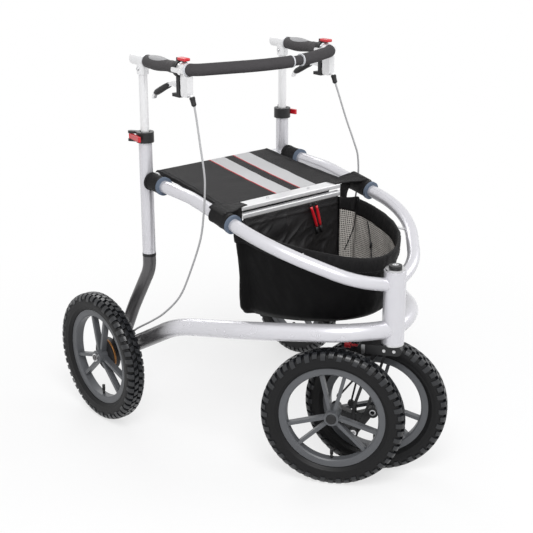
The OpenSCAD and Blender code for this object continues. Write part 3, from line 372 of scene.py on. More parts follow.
def make_net():
    """Small holes in nearly even rows, laid out by a stored place on the cloth."""
    g, gin, gout = group("open_net", [("Thread", "NodeSocketColor", None), ("Hole", "NodeSocketColor", None),
                                      ("Pitch", "NodeSocketFloat", 230.0)],
                         [("Colour", "NodeSocketColor"), ("Hole", "NodeSocketFloat")])
    place = g.nodes.new("ShaderNodeAttribute")
    place.attribute_name = "cloth_place"
    tex = g.nodes.new("ShaderNodeTexVoronoi")
    tex.voronoi_dimensions = "2D"
    tex.inputs["Randomness"].default_value = 0.12
    g.links.new(place.outputs["Vector"], tex.inputs["Vector"])
    g.links.new(gin.outputs["Pitch"], tex.inputs["Scale"])
    hole = sums(g, "LESS_THAN", tex.outputs["Distance"], 0.36)
    g.links.new(blend_colour(g, hole, gin.outputs["Thread"], gin.outputs["Hole"]), gout.inputs["Colour"])
    g.links.new(hole, gout.inputs["Hole"])
    return g


GRAIN, MOTTLE, WEAVE, NET = make_grain(), make_mottle(), make_weave(), make_net()
print("node groups:", [g.name for g in (GRAIN, MOTTLE, WEAVE, NET)])

# %% [markdown]
# The frame of the real walker is aluminium under a satin silver coat that leans a little to violet,
# the fork and rear legs are dark, and the wheels are moulded in grey. One function builds every
# plain finish from a colour, a gloss and the groups. A library of ready materials would be quicker,
# but the greys here differ by little, and matching them needs the numbers side by side.

# %% Plain finishes
def use_group(mat, tree, **values):
    """Place a group in a material and set its inputs."""
    n = mat.node_tree.nodes.new("ShaderNodeGroup")
    n.node_tree = tree
    for key, value in values.items():
        n.inputs[key].default_value = value
    return n


def set_colour(mat, socket):
    """Feed the base colour of a material from a socket."""
    mat.node_tree.links.new(socket, mat.node_tree.nodes["Principled BSDF"].inputs["Base Color"])


def finish(name, colour, rough, metal=0.0, grain=None, weave=None, mottle=(0.1, 25), coat=0.0, spec=0.5):
    """A plain finish: grain is (scale, strength), weave (threads, strength), mottle (amount, scale)."""
    mat = bpy.data.materials.new(name)
    mat.use_nodes = True
    mat.diffuse_color = (*colour, 1)
    shader = mat.node_tree.nodes["Principled BSDF"]
    for key, value in (("Metallic", metal), ("Coat Weight", coat), ("Specular IOR Level", spec)):
        shader.inputs[key].default_value = value
    link = mat.node_tree.links.new
    tint = use_group(mat, MOTTLE, Colour=(*colour, 1), Roughness=rough, Amount=mottle[0], Scale=mottle[1])
    set_colour(mat, tint.outputs["Colour"])
    link(tint.outputs["Roughness"], shader.inputs["Roughness"])
    if grain:
        peel = use_group(mat, GRAIN, Scale=grain[0], Strength=grain[1])
        link(peel.outputs["Normal"], shader.inputs["Normal"])
    if weave:
        threads = use_group(mat, WEAVE, Threads=weave[0], Strength=weave[1])
        link(threads.outputs["Normal"], shader.inputs["Normal"])
    return mat


SILVER = (0.63, 0.625, 0.66)
GRAPHITE = (0.1, 0.097, 0.1)
LOOK = {
    "silver": finish("satin_silver", SILVER, 0.27, 0.4, grain=(1400, 0.04), mottle=(0.05, 30), coat=0.35),
    "bright": finish("bright_aluminium", (0.79, 0.79, 0.8), 0.28, 0.45, grain=(1400, 0.05),
                     mottle=(0.05, 30)),
    "graphite": finish("satin_graphite", GRAPHITE, 0.32, 0.5, grain=(1400, 0.05),
                       mottle=(0.1, 30), coat=0.2),
    "black_coat": finish("black_coat", (0.012, 0.012, 0.013), 0.4, grain=(900, 0.08),
                         mottle=(0.2, 25), spec=0.4),
    "black_plastic": finish("black_plastic", (0.014, 0.014, 0.015), 0.5, grain=(700, 0.12),
                            mottle=(0.15, 20), spec=0.35),
    "steel": finish("bare_steel", (0.62, 0.62, 0.63), 0.28, 1.0, grain=(900, 0.06), mottle=(0.12, 40)),
    "red": finish("red_plastic", (0.58, 0.012, 0.022), 0.33, grain=(600, 0.05),
                  mottle=(0.08, 25), coat=0.2),
    "gold": finish("brass_ring", (0.3, 0.13, 0.035), 0.4, 0.6, grain=(900, 0.05), mottle=(0.1, 40)),
    "cable": finish("cable_sheath", (0.36, 0.36, 0.37), 0.42, grain=(900, 0.05), mottle=(0.05, 30)),
    "pale": finish("pale_plastic", (0.56, 0.57, 0.6), 0.48, grain=(900, 0.06), mottle=(0.06, 30)),
    "rim": finish("rim_composite", (0.088, 0.092, 0.1), 0.4, grain=(800, 0.12),
                  mottle=(0.12, 18), spec=0.5),
}
print("hard finishes:", len(LOOK))

# %% [markdown]
# Rubber, foam and cloth are matt and dark, so almost all that the eye sees of them is a soft shine.
# A black cloth that is written as pure black looks like a hole; here the colours stay just above
# it, the specular level is low, and a bump of crossing threads or of open cells breaks the shine.

# %% Soft finishes
LOOK.update({
    "rubber": finish("tyre_rubber", (0.0062, 0.0062, 0.0068), 0.5, grain=(520, 0.2),
                     mottle=(0.35, 9), spec=0.24),
    # The tread's lighter, bluer colour than the sidewall is painted sheen, the blue-grey shine of the sky on
    # the knobs; its lower roughness and higher specular are real gloss.
    "tread": finish("tread_rubber_painted_sheen", (0.0105, 0.0115, 0.014), 0.33, grain=(420, 0.25),
                    mottle=(0.3, 60), spec=0.55),
    "foam": finish("bar_foam", (0.058, 0.055, 0.058), 0.88, grain=(650, 0.4), mottle=(0.2, 40), spec=0.15),
    "grip": finish("grip_rubber", (0.068, 0.065, 0.067), 0.72, grain=(900, 0.2),
                   mottle=(0.15, 30), spec=0.2),
    "pad": finish("pad_rubber", (0.33, 0.33, 0.34), 0.6, grain=(1000, 0.2), mottle=(0.08, 30)),
    "cloth": finish("black_cloth", (0.0022, 0.0021, 0.0024), 0.5, weave=(5200, 0.3),
                    mottle=(0.35, 26), spec=0.1),
    # A lighter copy of the bag's black cloth for the rear panel: its colour is painted light where the panel
    # faces the lamps.
    "lit_panel_cloth": finish("black_cloth_painted_light", (0.011, 0.0104, 0.0112), 0.42, weave=(5200, 0.3),
                     mottle=(0.3, 26), spec=0.42),
    "band": finish("black_webbing", (0.0055, 0.0052, 0.0057), 0.55, weave=(3400, 0.5),
                   mottle=(0.3, 60), spec=0.18),
    "thread": finish("sewing_thread", (0.03, 0.03, 0.033), 0.6, weave=(9000, 0.3), spec=0.3),
})
print("soft finishes:", len(LOOK))

# %% [markdown]
# Four surfaces change colour along the part. The lower tubes fade from silver to graphite towards
# the rear wheels, the foam rings at the uprights are black where the others are blue-grey, the seat
# has two pale bands with a red edge each, and the bag's left side is an open net. All of them could
# be painted as pictures; here they are worked out from the place on the part, so they stay sharp in
# any view and need no picture file.

# %% Fading tube and foam rings
FADE_FROM, FADE_TO, BLACK_RINGS_FROM = (at(0, y, 0).y for y in (440, 545, 630))


def faded_tube():
    """Silver that turns to graphite towards the rear."""
    mat = finish("fading_silver", SILVER, 0.27, 0.4, grain=(1400, 0.04), coat=0.35)
    tree = mat.node_tree
    ramp = tree.nodes.new("ShaderNodeMapRange")
    ramp.interpolation_type = "SMOOTHSTEP"
    ramp.inputs["From Min"].default_value = FADE_FROM
    ramp.inputs["From Max"].default_value = FADE_TO
    tree.links.new(object_axes(tree)["Y"], ramp.inputs["Value"])
    set_colour(mat, blend_colour(tree, ramp.outputs["Result"], (*SILVER, 1), (*GRAPHITE, 1)))
    return mat


def ring_foam():
    """Blue-grey rings; those against the uprights are black."""
    mat = finish("ring_foam", (0.12, 0.15, 0.2), 0.8, grain=(700, 0.3), mottle=(0.15, 40), spec=0.25)
    tree = mat.node_tree
    rear = sums(tree, "GREATER_THAN", object_axes(tree)["Y"], BLACK_RINGS_FROM)
    set_colour(mat, blend_colour(tree, rear, (0.115, 0.145, 0.195, 1), (0.012, 0.012, 0.013, 1)))
    return mat


LOOK["fade"], LOOK["blue"] = faded_tube(), ring_foam()
print("the tubes fade from y =", round(FADE_FROM, 3), "to", round(FADE_TO, 3))

# %% Striped seat cloth and net
SKEW, SEAT_FRONT = 0.03, 403.5
SEAT_BLACK = (0.0105, 0.0098, 0.0105)
STRIPES = [(-27, -23.4, "red"), (-23.4, 25, "grey"), (55, 58.6, "red"), (58.6, 112, "grey")]


def striped_cloth():
    """Black seat cloth with pale bands that lean a little."""
    mat = finish("striped_cloth", SEAT_BLACK, 0.62, weave=(4200, 0.4), spec=0.2)
    tree = mat.node_tree
    axes = object_axes(tree)
    behind = sums(tree, "SUBTRACT", axes["Y"], at(0, SEAT_FRONT, 0).y)
    across = sums(tree, "SUBTRACT", axes["X"], sums(tree, "MULTIPLY", behind, SKEW))
    tints = {"red": (0.5, 0.01, 0.02, 1), "grey": (0.56, 0.56, 0.57, 1)}
    colour = use_group(mat, MOTTLE, Colour=(*SEAT_BLACK, 1), Amount=0.4, Scale=30.0).outputs["Colour"]
    for low, high, tint in STRIPES:
        inside = sums(tree, "MULTIPLY", sums(tree, "GREATER_THAN", across, low / 1000),
                      sums(tree, "LESS_THAN", across, high / 1000))
        colour = blend_colour(tree, inside, colour, tints[tint])
    set_colour(mat, colour)
    return mat


def net_cloth():
    """The open net inside the bag."""
    mat = finish("grey_net", (0.2, 0.19, 0.18), 0.8, spec=0.2)
    n = use_group(mat, NET, Thread=(0.56, 0.535, 0.50, 1), Hole=(0.055, 0.05, 0.047, 1), Pitch=200.0)
    set_colour(mat, n.outputs["Colour"])
    return mat


LOOK["seat"], LOOK["net"] = striped_cloth(), net_cloth()
print("seat stripes across x in mm:", STRIPES)

# %% [markdown]
# The hard parts of the CAD model have the right shape already, so they keep their meshes and only get
# a finish here. Setting it by hand in Blender's panels would be lost at the next load, so one table
# names the nodes that share a finish. Nodes that a softer piece replaces later get theirs as well.

# %% Finishes for the CAD nodes
FINISH = {
    "silver": "head_tube top_tube_right top_tube_left upright_right upright_left",
    "bright": "seat_bars handlebar_tube handle_legs handle_elbows brake_body_right brake_body_left "
              "brake_lever_right brake_lever_left",
    "fade": "lower_tube_right lower_tube_left",
    "graphite": "lower_leg_right lower_leg_left rear_brackets",
    "black_coat": "fork_crown fork_blades fork_stops rocker collars",
    "black_plastic": "upright_rings park_lever_right park_lever_left cable_stops brake_plates "
                     "rear_drum_right rear_drum_left",
    "steel": "headset_races small_fasteners rear_axles fork_hardware front_axles brake_arm_right "
             "brake_arm_left",
    "red": "cam_lever_right cam_lever_left lock_knob zip_pulls",
    "rubber": "rear_tyre_right rear_tyre_left front_tyre_right front_tyre_left",
    "rim": "rear_rim_right rear_rim_left front_rim_right front_rim_left",
    "foam": "foam_sleeves grip_right grip_left",
    "pale": "foam_rings",
    "cable": "brake_cable_right brake_cable_left",
    "blue": "sleeve_rings",
    "cloth": "seat_panel seat_sleeves bag bag_rim",
}
for key, names in FINISH.items():
    for name in names.split():
        nodes[name].data.materials.clear()
        nodes[name].data.materials.append(LOOK[key])
print("nodes dressed:", sum(len(names.split()) for names in FINISH.values()))

# %% [markdown]
# The tyres are small air tyres with an open block tread: two slanted rows on the crown and a row of
# knobs that wraps over each shoulder, so the blocks show from the side as well. A bump map would
# leave the outline smooth, and cutting grooves with booleans is slow and leaves a rough mesh. So a
# smooth casing is revolved, and each block is a small loft whose foot is sunk into it.

# %% Tyre casing
TYRE_R = 178.0
SIDEWALL = [(127.0, 9.9), (132.2, 9.9), (132.9, 14.6), (137, 18.6), (140.2, 20.4), (140.8, 21.2),
            (142.0, 21.6), (142.8, 21.4), (148, 22.9), (153, 23.6), (158, 23.5), (163, 22.5),
            (167, 20.8), (169.6, 18.0), (170.8, 14.0), (171.6, 8.0), (171.9, 3.0)]
AROUND, BLOCKS = 156, 52


def wheel_point(r, a, w):
    """A point of a wheel in its own axes, with the axle along x."""
    return Vector((w, r * math.cos(a), r * math.sin(a))) / 1000


def casing():
    """The smooth tyre under the tread, as a closed ring."""
    profile = SIDEWALL + [(r, -w) for r, w in reversed(SIDEWALL)]
    verts, faces, n = [], [], len(profile)
    for i in range(AROUND):
        verts += [wheel_point(r, 2 * math.pi * i / AROUND, w) for r, w in profile]
    for i in range(AROUND):
        j = (i + 1) % AROUND
        for k in range(n):
            m = (k + 1) % n
            faces.append((i * n + k, j * n + k, j * n + m, i * n + m))
    return verts, faces


# %% Tread blocks
def block(a0, pitch, side, line, start, end, slant):
    """One block: its top follows a line of (width, radius), its foot lies inside the casing."""
    top, foot, last = [], [], len(line) - 1
    for j, (w, r) in enumerate(line):
        lean = slant * (j / last - 0.5)
        for k in range(4):
            share = fade(start + lean, end + lean, k / 3)
            spread = (-0.07, 0, 0, 0.07)[k]
            deep = 0.74 if j in (0, last) else 0.8
            top.append(wheel_point(r, a0 + pitch * share, side * w))
            foot.append(wheel_point(fade(150, r, deep), a0 + pitch * (share + spread), side * w * deep))
    rows = last + 1
    faces = [(j * 4 + k, j * 4 + k + 1, j * 4 + k + 5, j * 4 + k + 4) for j in range(last) for k in range(3)]
    edge = [0, 1, 2, 3] + [j * 4 + 3 for j in range(1, rows)]
    edge += [last * 4 + k for k in (2, 1, 0)] + [j * 4 for j in range(last - 1, 0, -1)]
    faces += [(b, a, a + rows * 4, b + rows * 4) for a, b in zip(edge, edge[1:] + edge[:1])]
    return top + foot, faces if side > 0 else [tuple(reversed(f)) for f in faces]


CROWN = [(1.0, 177.7), (6.5, TYRE_R), (12.2, 177.3)]
KNOB = [(13.6, 176.9), (18.8, 174.9), (22.9, 170.4), (25.0, 164.4)]
LONG_KNOB = KNOB[:3] + [(25.2, 163.6), (25.3, 158.6)]
pitch = 2 * math.pi / BLOCKS
tread = [casing()]
for i in range(BLOCKS):
    for side in (-1, 1):
        a0 = (i + (0.5 if side > 0 else 0.0)) * pitch
        tread.append(block(a0, pitch, side, CROWN, 0.06, 0.66, 0.22))
        tread.append(block(a0 + pitch / 2, pitch, side, LONG_KNOB if i % 2 else KNOB, 0.10, 0.70, -0.10))
TYRE = new_mesh("tyre", *merge(tread))
TYRE.set_sharp_from_angle(angle=math.radians(32))
TYRE.materials.append(LOOK["rubber"])
# The tread blocks take the lighter, bluer rubber: painted sheen on the knobs.
TYRE.materials.append(LOOK["tread"])
for poly in TYRE.polygons:
    poly.material_index = 0 if poly.index < len(tread[0][1]) else 1
print("tyre faces:", len(TYRE.polygons), "blocks:", 4 * BLOCKS)

# %% Tyres and valves on their wheels
VALVE = new_mesh("valve", *merge([
    tube([wheel_point(r, -math.pi / 2, 0) for r in (115.5, 103.0)], 0.0034, 14),
    tube([wheel_point(r, -math.pi / 2, 0) for r in (103.2, 92.0, 88.0)], 0.0043, 14)]))
REAR_X, REAR_Y = 351, 752
FRONT_X, FRONT_Y = 49.5, {"right": 134.5, "left": 41.5}
WHEELS = {}
for side, sign in SIDES.items():
    WHEELS["rear_" + side] = Matrix.Translation(at(sign * REAR_X, REAR_Y, TYRE_R))
    WHEELS["front_" + side] = FORK @ Matrix.Translation(mm(sign * FRONT_X, FRONT_Y[side], TYRE_R))
for where, matrix in WHEELS.items():
    kind, side = where.split("_")
    body = f"{kind}_wheel_{side}"
    tyre = put(f"tread_{where}", TYRE, body, LOOK["rubber"], matrix)
    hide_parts(f"{kind}_tyre_{side}")
    put(f"valve_{where}", VALVE, body, LOOK["black_plastic"], matrix)
print("wheels:", list(WHEELS))

# %% [markdown]
# Small trim makes a wheel look fitted: a shallow cap on each front hub, a socket head on each rear
# axle and a brass-coloured ring on each brake drum. They are revolved rings, which is the usual way
# to make turned parts, and they sit on the CAD faces so that nothing floats.

# %% Hub trim
CAP_STEPS = ((-0.001, 0.0128), (0.0012, 0.0128), (0.0024, 0.0116), (0.0028, 0.008), (0.0021, 0.003))
RING_STEPS = ((0.0115, 0.0449), (0.0115, 0.0464), (0.0165, 0.0464), (0.0165, 0.0449))
HUB_FACE, AXLE_FACE = 0.0182, 0.0243
for where, matrix in WHEELS.items():
    kind, side = where.split("_")
    out = Vector((SIDES[side], 0, 0))
    body = f"{kind}_wheel_{side}"
    if kind == "front":
        rings = [ring_about(out * (HUB_FACE + h), out, (r, r), 32) for h, r in CAP_STEPS]
        cap = new_mesh("hub_cap", *loft(rings))
        put(f"hub_cap_{side}", cap, body, LOOK["black_plastic"], matrix)
    else:
        head = new_mesh("axle_bolt", *bolt(out * AXLE_FACE, out, 0.0078, 0.0022))
        put(f"axle_bolt_{side}", head, "frame", LOOK["graphite"], matrix)
        band = loft([ring_about(-out * d, out, (r, r), 48) for d, r in RING_STEPS], cap=False)
        put(f"drum_ring_{side}", new_mesh("drum_ring", *band), body, LOOK["gold"], matrix)
print("hub trim on", len(WHEELS), "wheels")

# %% [markdown]
# The seat is a flat sling of strong cloth, held by the rear tube, the front bar and four sleeves.
# Pulled tight like this it hardly sags; its sides draw in and small ripples run from the corners.
# A cloth simulation could stretch it, but the shape of a taut sheet is easier to match by a formula,
# and it gives the same result in every run. The rear edge bends down over its tube.

# %% Seat cloth
SEAT_REAR, SEAT_HALF, SEAT_REAR_HALF = 702.0, 205.0, 189.0
SEAT_FRONT_Z, SEAT_REAR_Z, SAG, WAIST, SEAT_T = 655.0, 687.0, 1.5, 5.0, 3.0
TUBE_Y, TUBE_Z, OVER_DROP, OVER_REACH, OVER_TURN = 688.0, 670.0, 16.0, 15.4, math.radians(78)


def seat_top(u, v):
    """The seat's upper face: u from right to left, v from the front bar to the rear tube."""
    x = u * (fade(SEAT_HALF, SEAT_REAR_HALF, v) - WAIST * math.sin(math.pi * v))
    y = fade(SEAT_FRONT, SEAT_REAR, v)
    z = fade(SEAT_FRONT_Z, SEAT_REAR_Z, v) - SAG * math.sin(math.pi * v) * (1 - u * u)
    edge = max(abs(u) ** 14, abs(2 * v - 1) ** 18)
    ripple = wander(x * 0.016, y * 0.026, 3.1) * 1.2 * (1 - edge)
    pull = math.exp(-((1 - abs(u)) * 6) ** 2) * math.sin(v * 31) * 0.6
    z += (ripple + pull) * math.sin(math.pi * v) + 0.4 * edge
    if y > TUBE_Y:
        turn = (y - TUBE_Y) / (SEAT_REAR - TUBE_Y) * OVER_TURN
        z -= OVER_DROP * (1 - math.cos(turn))
        y = TUBE_Y + OVER_REACH * math.sin(turn)
    return Vector((x, y, z))


def cloth_piece(name, shape, look="band", sharp=None):
    """A piece of cloth that stays with the frame."""
    return piece(name, *shape, "frame", LOOK[look], "black_cloth", sharp)


seat = cloth_piece("seat_cloth", sheet(seat_top, 84, 96, SEAT_T), "seat", sharp=50)
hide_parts("seat_panel")
print("seat cloth area:", round(cloth_area(seat), 4), "m2")

# %% Seat hems, pocket and stitches
def seat_line(u, inset, lift, v_end=0.955, steps=90):
    """A line along one side of the seat, so far in from the edge and so far above it."""
    points = [seat_top(u, v_end * k / steps) for k in range(steps + 1)]
    return [p + Vector((-inset if p.x > 0 else inset, 0, lift)) for p in points]


for side, sign in SIDES.items():
    line = [at(*p) for p in seat_line(sign, 1.5, -5.6, 0.985)]
    rolls = [ring_about(p, Vector((0, 1, 0)), (0.0028, 0.0062), 18) for p in line]
    cloth_piece(f"seat_hem_{side}", loft(rolls), sharp=70)
    rows = [stitches(seat_line(sign, inset, 0.15)) for inset in (8.0, 11.0)]
    cloth_piece(f"seat_stitches_{side}", merge(rows), "thread")
pocket, POCKET_HALF = [], 184.0
for k in range(41):
    x = fade(-POCKET_HALF, POCKET_HALF, k / 40)
    r = 0.0142 + 0.0004 * wander(x * 0.05, 2.0, 0.3)
    pocket.append(ring_about(at(x, TUBE_Y, TUBE_Z), Vector((1, 0, 0)), (r, r), 28))
cloth_piece("seat_pocket", loft(pocket), sharp=60)


def front_hem(u, v):
    """The strip that hangs behind the front bar."""
    ripple = 1.2 * wander(u * 5, v, 7.0) * v
    return Vector((u * 163, SEAT_FRONT + 3.2 + ripple, fade(652.0, 617.0, v)))


cloth_piece("seat_front_hem", sheet(front_hem, 60, 8, 2.0, Vector((0, -1, 0))))

# %% [markdown]
# Four cloth sleeves wrap the top tubes, and a broad flap runs from each front sleeve over the end of
# the seat's front bar. The real ones are strips that close on themselves. Each sleeve is a loft of
# rings along its tube, with a lip where the strip overlaps and noise for tucks; each flap is a sheet
# that climbs from the bar and rolls over the sleeve.

# %% Sleeves on the top tubes
HOOP = [Vector((SIDE_X, 678.0, 672.0)), Vector((SIDE_X, 486.1, 664.0)), Vector((233.1, 178.0, 608.0))]
SLEEVE_R, SLEEVE_END_R, HEM_SWELL, LIP = 22.2, 19.5, 0.7, 1.1


def sleeve(name, sign, p, q, shares, seed):
    """A cloth sleeve over part of the tube from p to q, with swollen hems and one overlap."""
    rings, steps, sides = [], 26, 40
    p, q = (at(sign * c.x, c.y, c.z) for c in (p, q))
    for i in range(steps + 1):
        c = p.lerp(q, fade(shares[0], shares[1], i / steps))
        ring = []
        for k, b in enumerate(ring_about(c, q - p, (1, 1), sides)):
            a = 2 * math.pi * k / sides
            r = SLEEVE_R + wander(2 * math.cos(a), 2 * math.sin(a), i * 0.16 + seed) * 0.9
            r += HEM_SWELL if i in (1, 2, steps - 1, steps - 2) else 0.0
            r += LIP if 0.1 < a / (2 * math.pi) < 0.28 else 0.0
            ring.append(c + (b - c).normalized() * (SLEEVE_END_R if i in (0, steps) else r) / 1000)
        rings.append(ring)
    return cloth_piece(name, loft(rings), sharp=70)


for side, sign in SIDES.items():
    sleeve(f"sleeve_rear_{side}", sign, HOOP[0], HOOP[1], (0.15, 0.38), sign * 3.3)
    sleeve(f"sleeve_front_{side}", sign, HOOP[1], HOOP[2], (0.32, 0.53), sign * 7.1)
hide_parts("seat_sleeves")

# %% Flaps over the bar's ends
HOOP_SLOPE, FLAP_R, FLAP_IN, FLAP_OUT = 0.1818, 25.0, 150, 251


def flap_top(sign):
    """The upper face of one flap, from the bar out and over the sleeve."""
    def surface(u, v):
        s = (u + 1) / 2
        x = fade(FLAP_IN, FLAP_OUT, s)
        y = fade(fade(365.5, 334, ease(s * 1.3)), fade(404.5, 389, ease(s * 1.3)), v) + 0.8 * math.sin(s * 7)
        tube_z = HOOP[1].z + (y - HOOP[1].y) * HOOP_SLOPE
        z = fade(657.4, tube_z + 23.6, ease((x - 166) / 60))
        if x > SIDE_X - 8:
            z = tube_z + math.sqrt(max(0.0, FLAP_R ** 2 - (x - SIDE_X) ** 2))
        z += 0.9 * wander(x * 0.06, y * 0.08, 4.0 + sign) * math.sin(math.pi * s)
        return Vector((sign * x, y, z))
    return surface


for side, sign in SIDES.items():
    top = flap_top(sign)
    flap = cloth_piece(f"flap_{side}", sheet(top, 44, 18, 2.0), sharp=60)
    lines = [[top(-0.97 + 1.8 * k / 60, v) + Vector((0, 0, 0.2)) for k in range(61)] for v in (0.08, 0.92)]
    sewn = cloth_piece(f"flap_stitches_{side}", merge([stitches(line) for line in lines]), "thread")
    print("flap", side, "area:", round(cloth_area(flap), 5), "m2")

# %% [markdown]
# The bag is a soft bucket under the top tubes: black cloth outside, a padded hem round its mouth and
# a net on the inside of its left wall. A box with a cloth modifier would billow and still miss the
# outline that the photograph shows, so the walls are a loft between the floor's edge and the mouth.
# Noise pushes folds into it, strongest half way up, where nothing holds the cloth.

# %% Bag outline
BAG_BACK, BAG_MID, REACH, INSET, BAG_LOW = 368.0, 322.0, 316.0, 40.0, 385.0
FLOOR_IN, FLOOR_FRONT, FLOOR_RISE, BAG_TOP, CORNER = 64.0, 69.0, 26.0, 621.7, 163.0
STRAIGHT = 0.075


def rim_z(s):
    """Height of the mouth, from the rear at 0 to the front at 1."""
    return BAG_TOP - 12.6 - 44.0 * (0.68 * s + 0.32 * s ** 6)


def bag_point(u, h):
    """Outer wall: u runs from the left rear corner round the front to the right one, h is up."""
    back = max(0.0, 1 - u / STRAIGHT, 1 - (1 - u) / STRAIGHT)
    a = math.pi * min(1.0, max(0.0, (u - STRAIGHT) / (1 - 2 * STRAIGHT)))
    s, c = math.sin(a), math.cos(a)
    top = Vector(((SIDE_X - INSET) * c, BAG_MID - (REACH - INSET) * s, rim_z(s) - 2))
    low = Vector(((SIDE_X - FLOOR_IN) * c, BAG_MID - (REACH - FLOOR_FRONT) * s, BAG_LOW + FLOOR_RISE * s))
    turn = ease((back - 0.35) / 0.65) ** 2
    if back:
        top = Vector((math.copysign(fade(abs(top.x), CORNER, turn), c), fade(top.y, BAG_BACK, back),
                      fade(top.z, BAG_TOP - 2, turn)))
        widen = fade(fade(1, 1.1, ease(back / 0.35)), 0.985, turn)
        low = Vector((low.x * widen, fade(low.y, BAG_BACK, back), low.z))
    p = low.lerp(top, h)
    p.x += math.copysign(12.0 * ease(back / 0.35) * (1 - turn) * ease((h - 0.5) / 0.5), c)
    held = math.sin(math.pi * h) ** 0.6 * (1 - 0.6 * turn)
    fold = 5.0 * wander(u * 12, h * 2.0, 1.7) + 2.6 * wander(u * 30, h * 4 + u * 12, 8.2)
    fold += 1.2 * wander(u * 70 - h * 9, h * 6, 3.3)
    tuck = 10.0 * ease(1 - h / 0.1) ** 2
    out = Vector((c, fade(-s, 0.5, turn), 0)).normalized()
    bulge = 5.0 * (1 - turn) * math.sin(math.pi * min(1, 0.12 + h * 0.98)) ** 0.7
    return p + out * (bulge + fold * held - tuck), out


print("mouth of the bag from z =", round(rim_z(1)), "in front to", round(rim_z(0)), "behind")

# %% Bag walls with the net
WALL_ROUND, WALL_HIGH, WALL_T, NET_SHARE, NET_HEIGHT = 176, 40, 3.0, 0.47, 0.21
outer, inner, spots, run = [], [], [], 0.0
for i in range(WALL_ROUND + 1):
    middle = at(*bag_point(i / WALL_ROUND, 0.6)[0])
    run += (middle - last).length if i else 0.0
    last = middle
    for j in range(WALL_HIGH + 1):
        p, out = bag_point(i / WALL_ROUND, j / WALL_HIGH)
        outer.append(at(*p))
        inner.append(at(*(p - out * WALL_T)))
        spots.append((run, NET_HEIGHT * j / WALL_HIGH, 0.0))
count = len(outer)
wall_faces, net_faces = [], []
for i in range(WALL_ROUND):
    for j in range(WALL_HIGH):
        a, b = i * (WALL_HIGH + 1) + j, (i + 1) * (WALL_HIGH + 1) + j
        wall_faces.append((a, b, b + 1, a + 1))
        inside = net_faces if 0 < i < NET_SHARE * WALL_ROUND and j > 1 else wall_faces
        inside.append((count + a, count + a + 1, count + b + 1, count + b))
    for j in (0, WALL_HIGH):
        a, b = i * (WALL_HIGH + 1) + j, (i + 1) * (WALL_HIGH + 1) + j
        wall_faces.append((a, a + count, b + count, b) if j == 0 else (b, b + count, a + count, a))
for i in (0, WALL_ROUND):
    for j in range(WALL_HIGH):
        a = i * (WALL_HIGH + 1) + j
        b = a + 1
        wall_faces.append((a, b, b + count, a + count) if i == 0 else (b, a, a + count, b + count))
bag_mesh = new_mesh("bag_walls", outer + inner, wall_faces + net_faces)
bag_mesh.materials.append(LOOK["cloth"])
bag_mesh.materials.append(LOOK["net"])
for k, poly in enumerate(bag_mesh.polygons):
    poly.material_index = 0 if k < len(wall_faces) else 1
place = bag_mesh.attributes.new("cloth_place", "FLOAT_VECTOR", "POINT")
for k, spot in enumerate(spots + spots):
    place.data[k].vector = spot
bag_walls = put("bag_walls", bag_mesh, "frame", LOOK["cloth"])
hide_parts("bag")
print("wall", round(run, 3), "m round, cloth area", round(cloth_area(bag_walls), 4), "m2")
print("net faces:", len(net_faces))

# %% [markdown]
# The rear panel hangs from the lower of the two front bars and shows most of its folds, because only
# its top edge is held. Its folds run slantwise, so the noise is stretched along a slanted direction
# before it moves the points. The floor is one more sheet that droops a little between its edges.

# %% Rear panel and floor of the bag
FLOOR_REAR_X = 161.0


def panel_surface(u, v):
    """The folds of the rear panel: u from right to left, v from the floor up."""
    half = fade(SIDE_X - FLOOR_IN, CORNER, v) - 3.0 - 5.0 * ease(1 - v / 0.1) ** 2
    x, z = u * half, fade(BAG_LOW + 1, BAG_TOP, v)
    free = 1 - 0.75 * math.exp(-((x - 80) / 38) ** 2 - ((z - 575) / 60) ** 2)
    held = free * (1 - abs(u) ** 8) * math.sin(math.pi * v) ** 0.5
    fold = wander(x * 0.009 + z * 0.008, z * 0.022 - x * 0.009, 5.5) * 6.0
    crease = 1 - abs(wander(x * 0.012 + z * 0.012, z * 0.034 - x * 0.02, 2.2))
    fold -= 5.0 * crease ** 6 - 1.5
    ridge = 1.8 * math.exp(-((v - 0.925) / 0.012) ** 2)
    return Vector((x, BAG_BACK - 1.6 + fold * held - ridge, z))


def floor_surface(u, v):
    """v runs from the rear edge of the floor to the wall, u along the wall from left to right."""
    edge, out = bag_point(fade(0.018, 0.982, (u + 1) / 2), 0.02)
    rear_x = math.copysign(min(abs(edge.x), FLOOR_REAR_X), edge.x)
    q = Vector((rear_x, BAG_BACK - 1.5, BAG_LOW + 2)).lerp(edge - out, v)
    q.z += wander(q.x * 0.02, q.y * 0.02, 4.0) * 1.5 - 2.5 * math.sin(math.pi * v)
    return q


# The panel takes the lighter copy of the black cloth: painted light.
back_panel = cloth_piece("bag_back_panel", sheet(panel_surface, 96, 64, 2.4, Vector((0, 1, 0))), "lit_panel_cloth")
bag_floor = cloth_piece("bag_floor", sheet(floor_surface, 120, 32, 2.5, Vector((0, 0, 1))), "cloth")
seam = stitches([panel_surface(-0.96 + 1.92 * k / 150, 0.955) + Vector((0, -0.4, 0)) for k in range(151)])
panel_seam = cloth_piece("bag_panel_stitches", seam, "thread")
print("panel area:", round(cloth_area(back_panel), 4), "floor area:", round(cloth_area(bag_floor), 4))

# %% [markdown]
# A padded hem stiffens the mouth of the bag. In section it is a flat pouch, about 42 mm high, so the
# loft repeats one pouch-shaped ring along the mouth and lets it swell and gather a little. A plain
# tube would look like a rope, and a cloth simulation of a thin long pouch tends to crumple.

# %% Padded hem
HEM_STEPS, HEM_RISE, HEM_DROP, HEM_HALF = 210, 10.6, 31.0, 5.4
POUCH = ((-1, 0.0), (-1, 0.12), (-1, 0.4), (-1, 0.86), (-0.55, 0.985), (0, 1.0), (0.55, 0.985),
         (1, 0.86), (1, 0.4), (1, 0.12), (1, 0.0), (0.4, -0.03), (-0.4, -0.03))
hem_rings, hem_edge = [], []


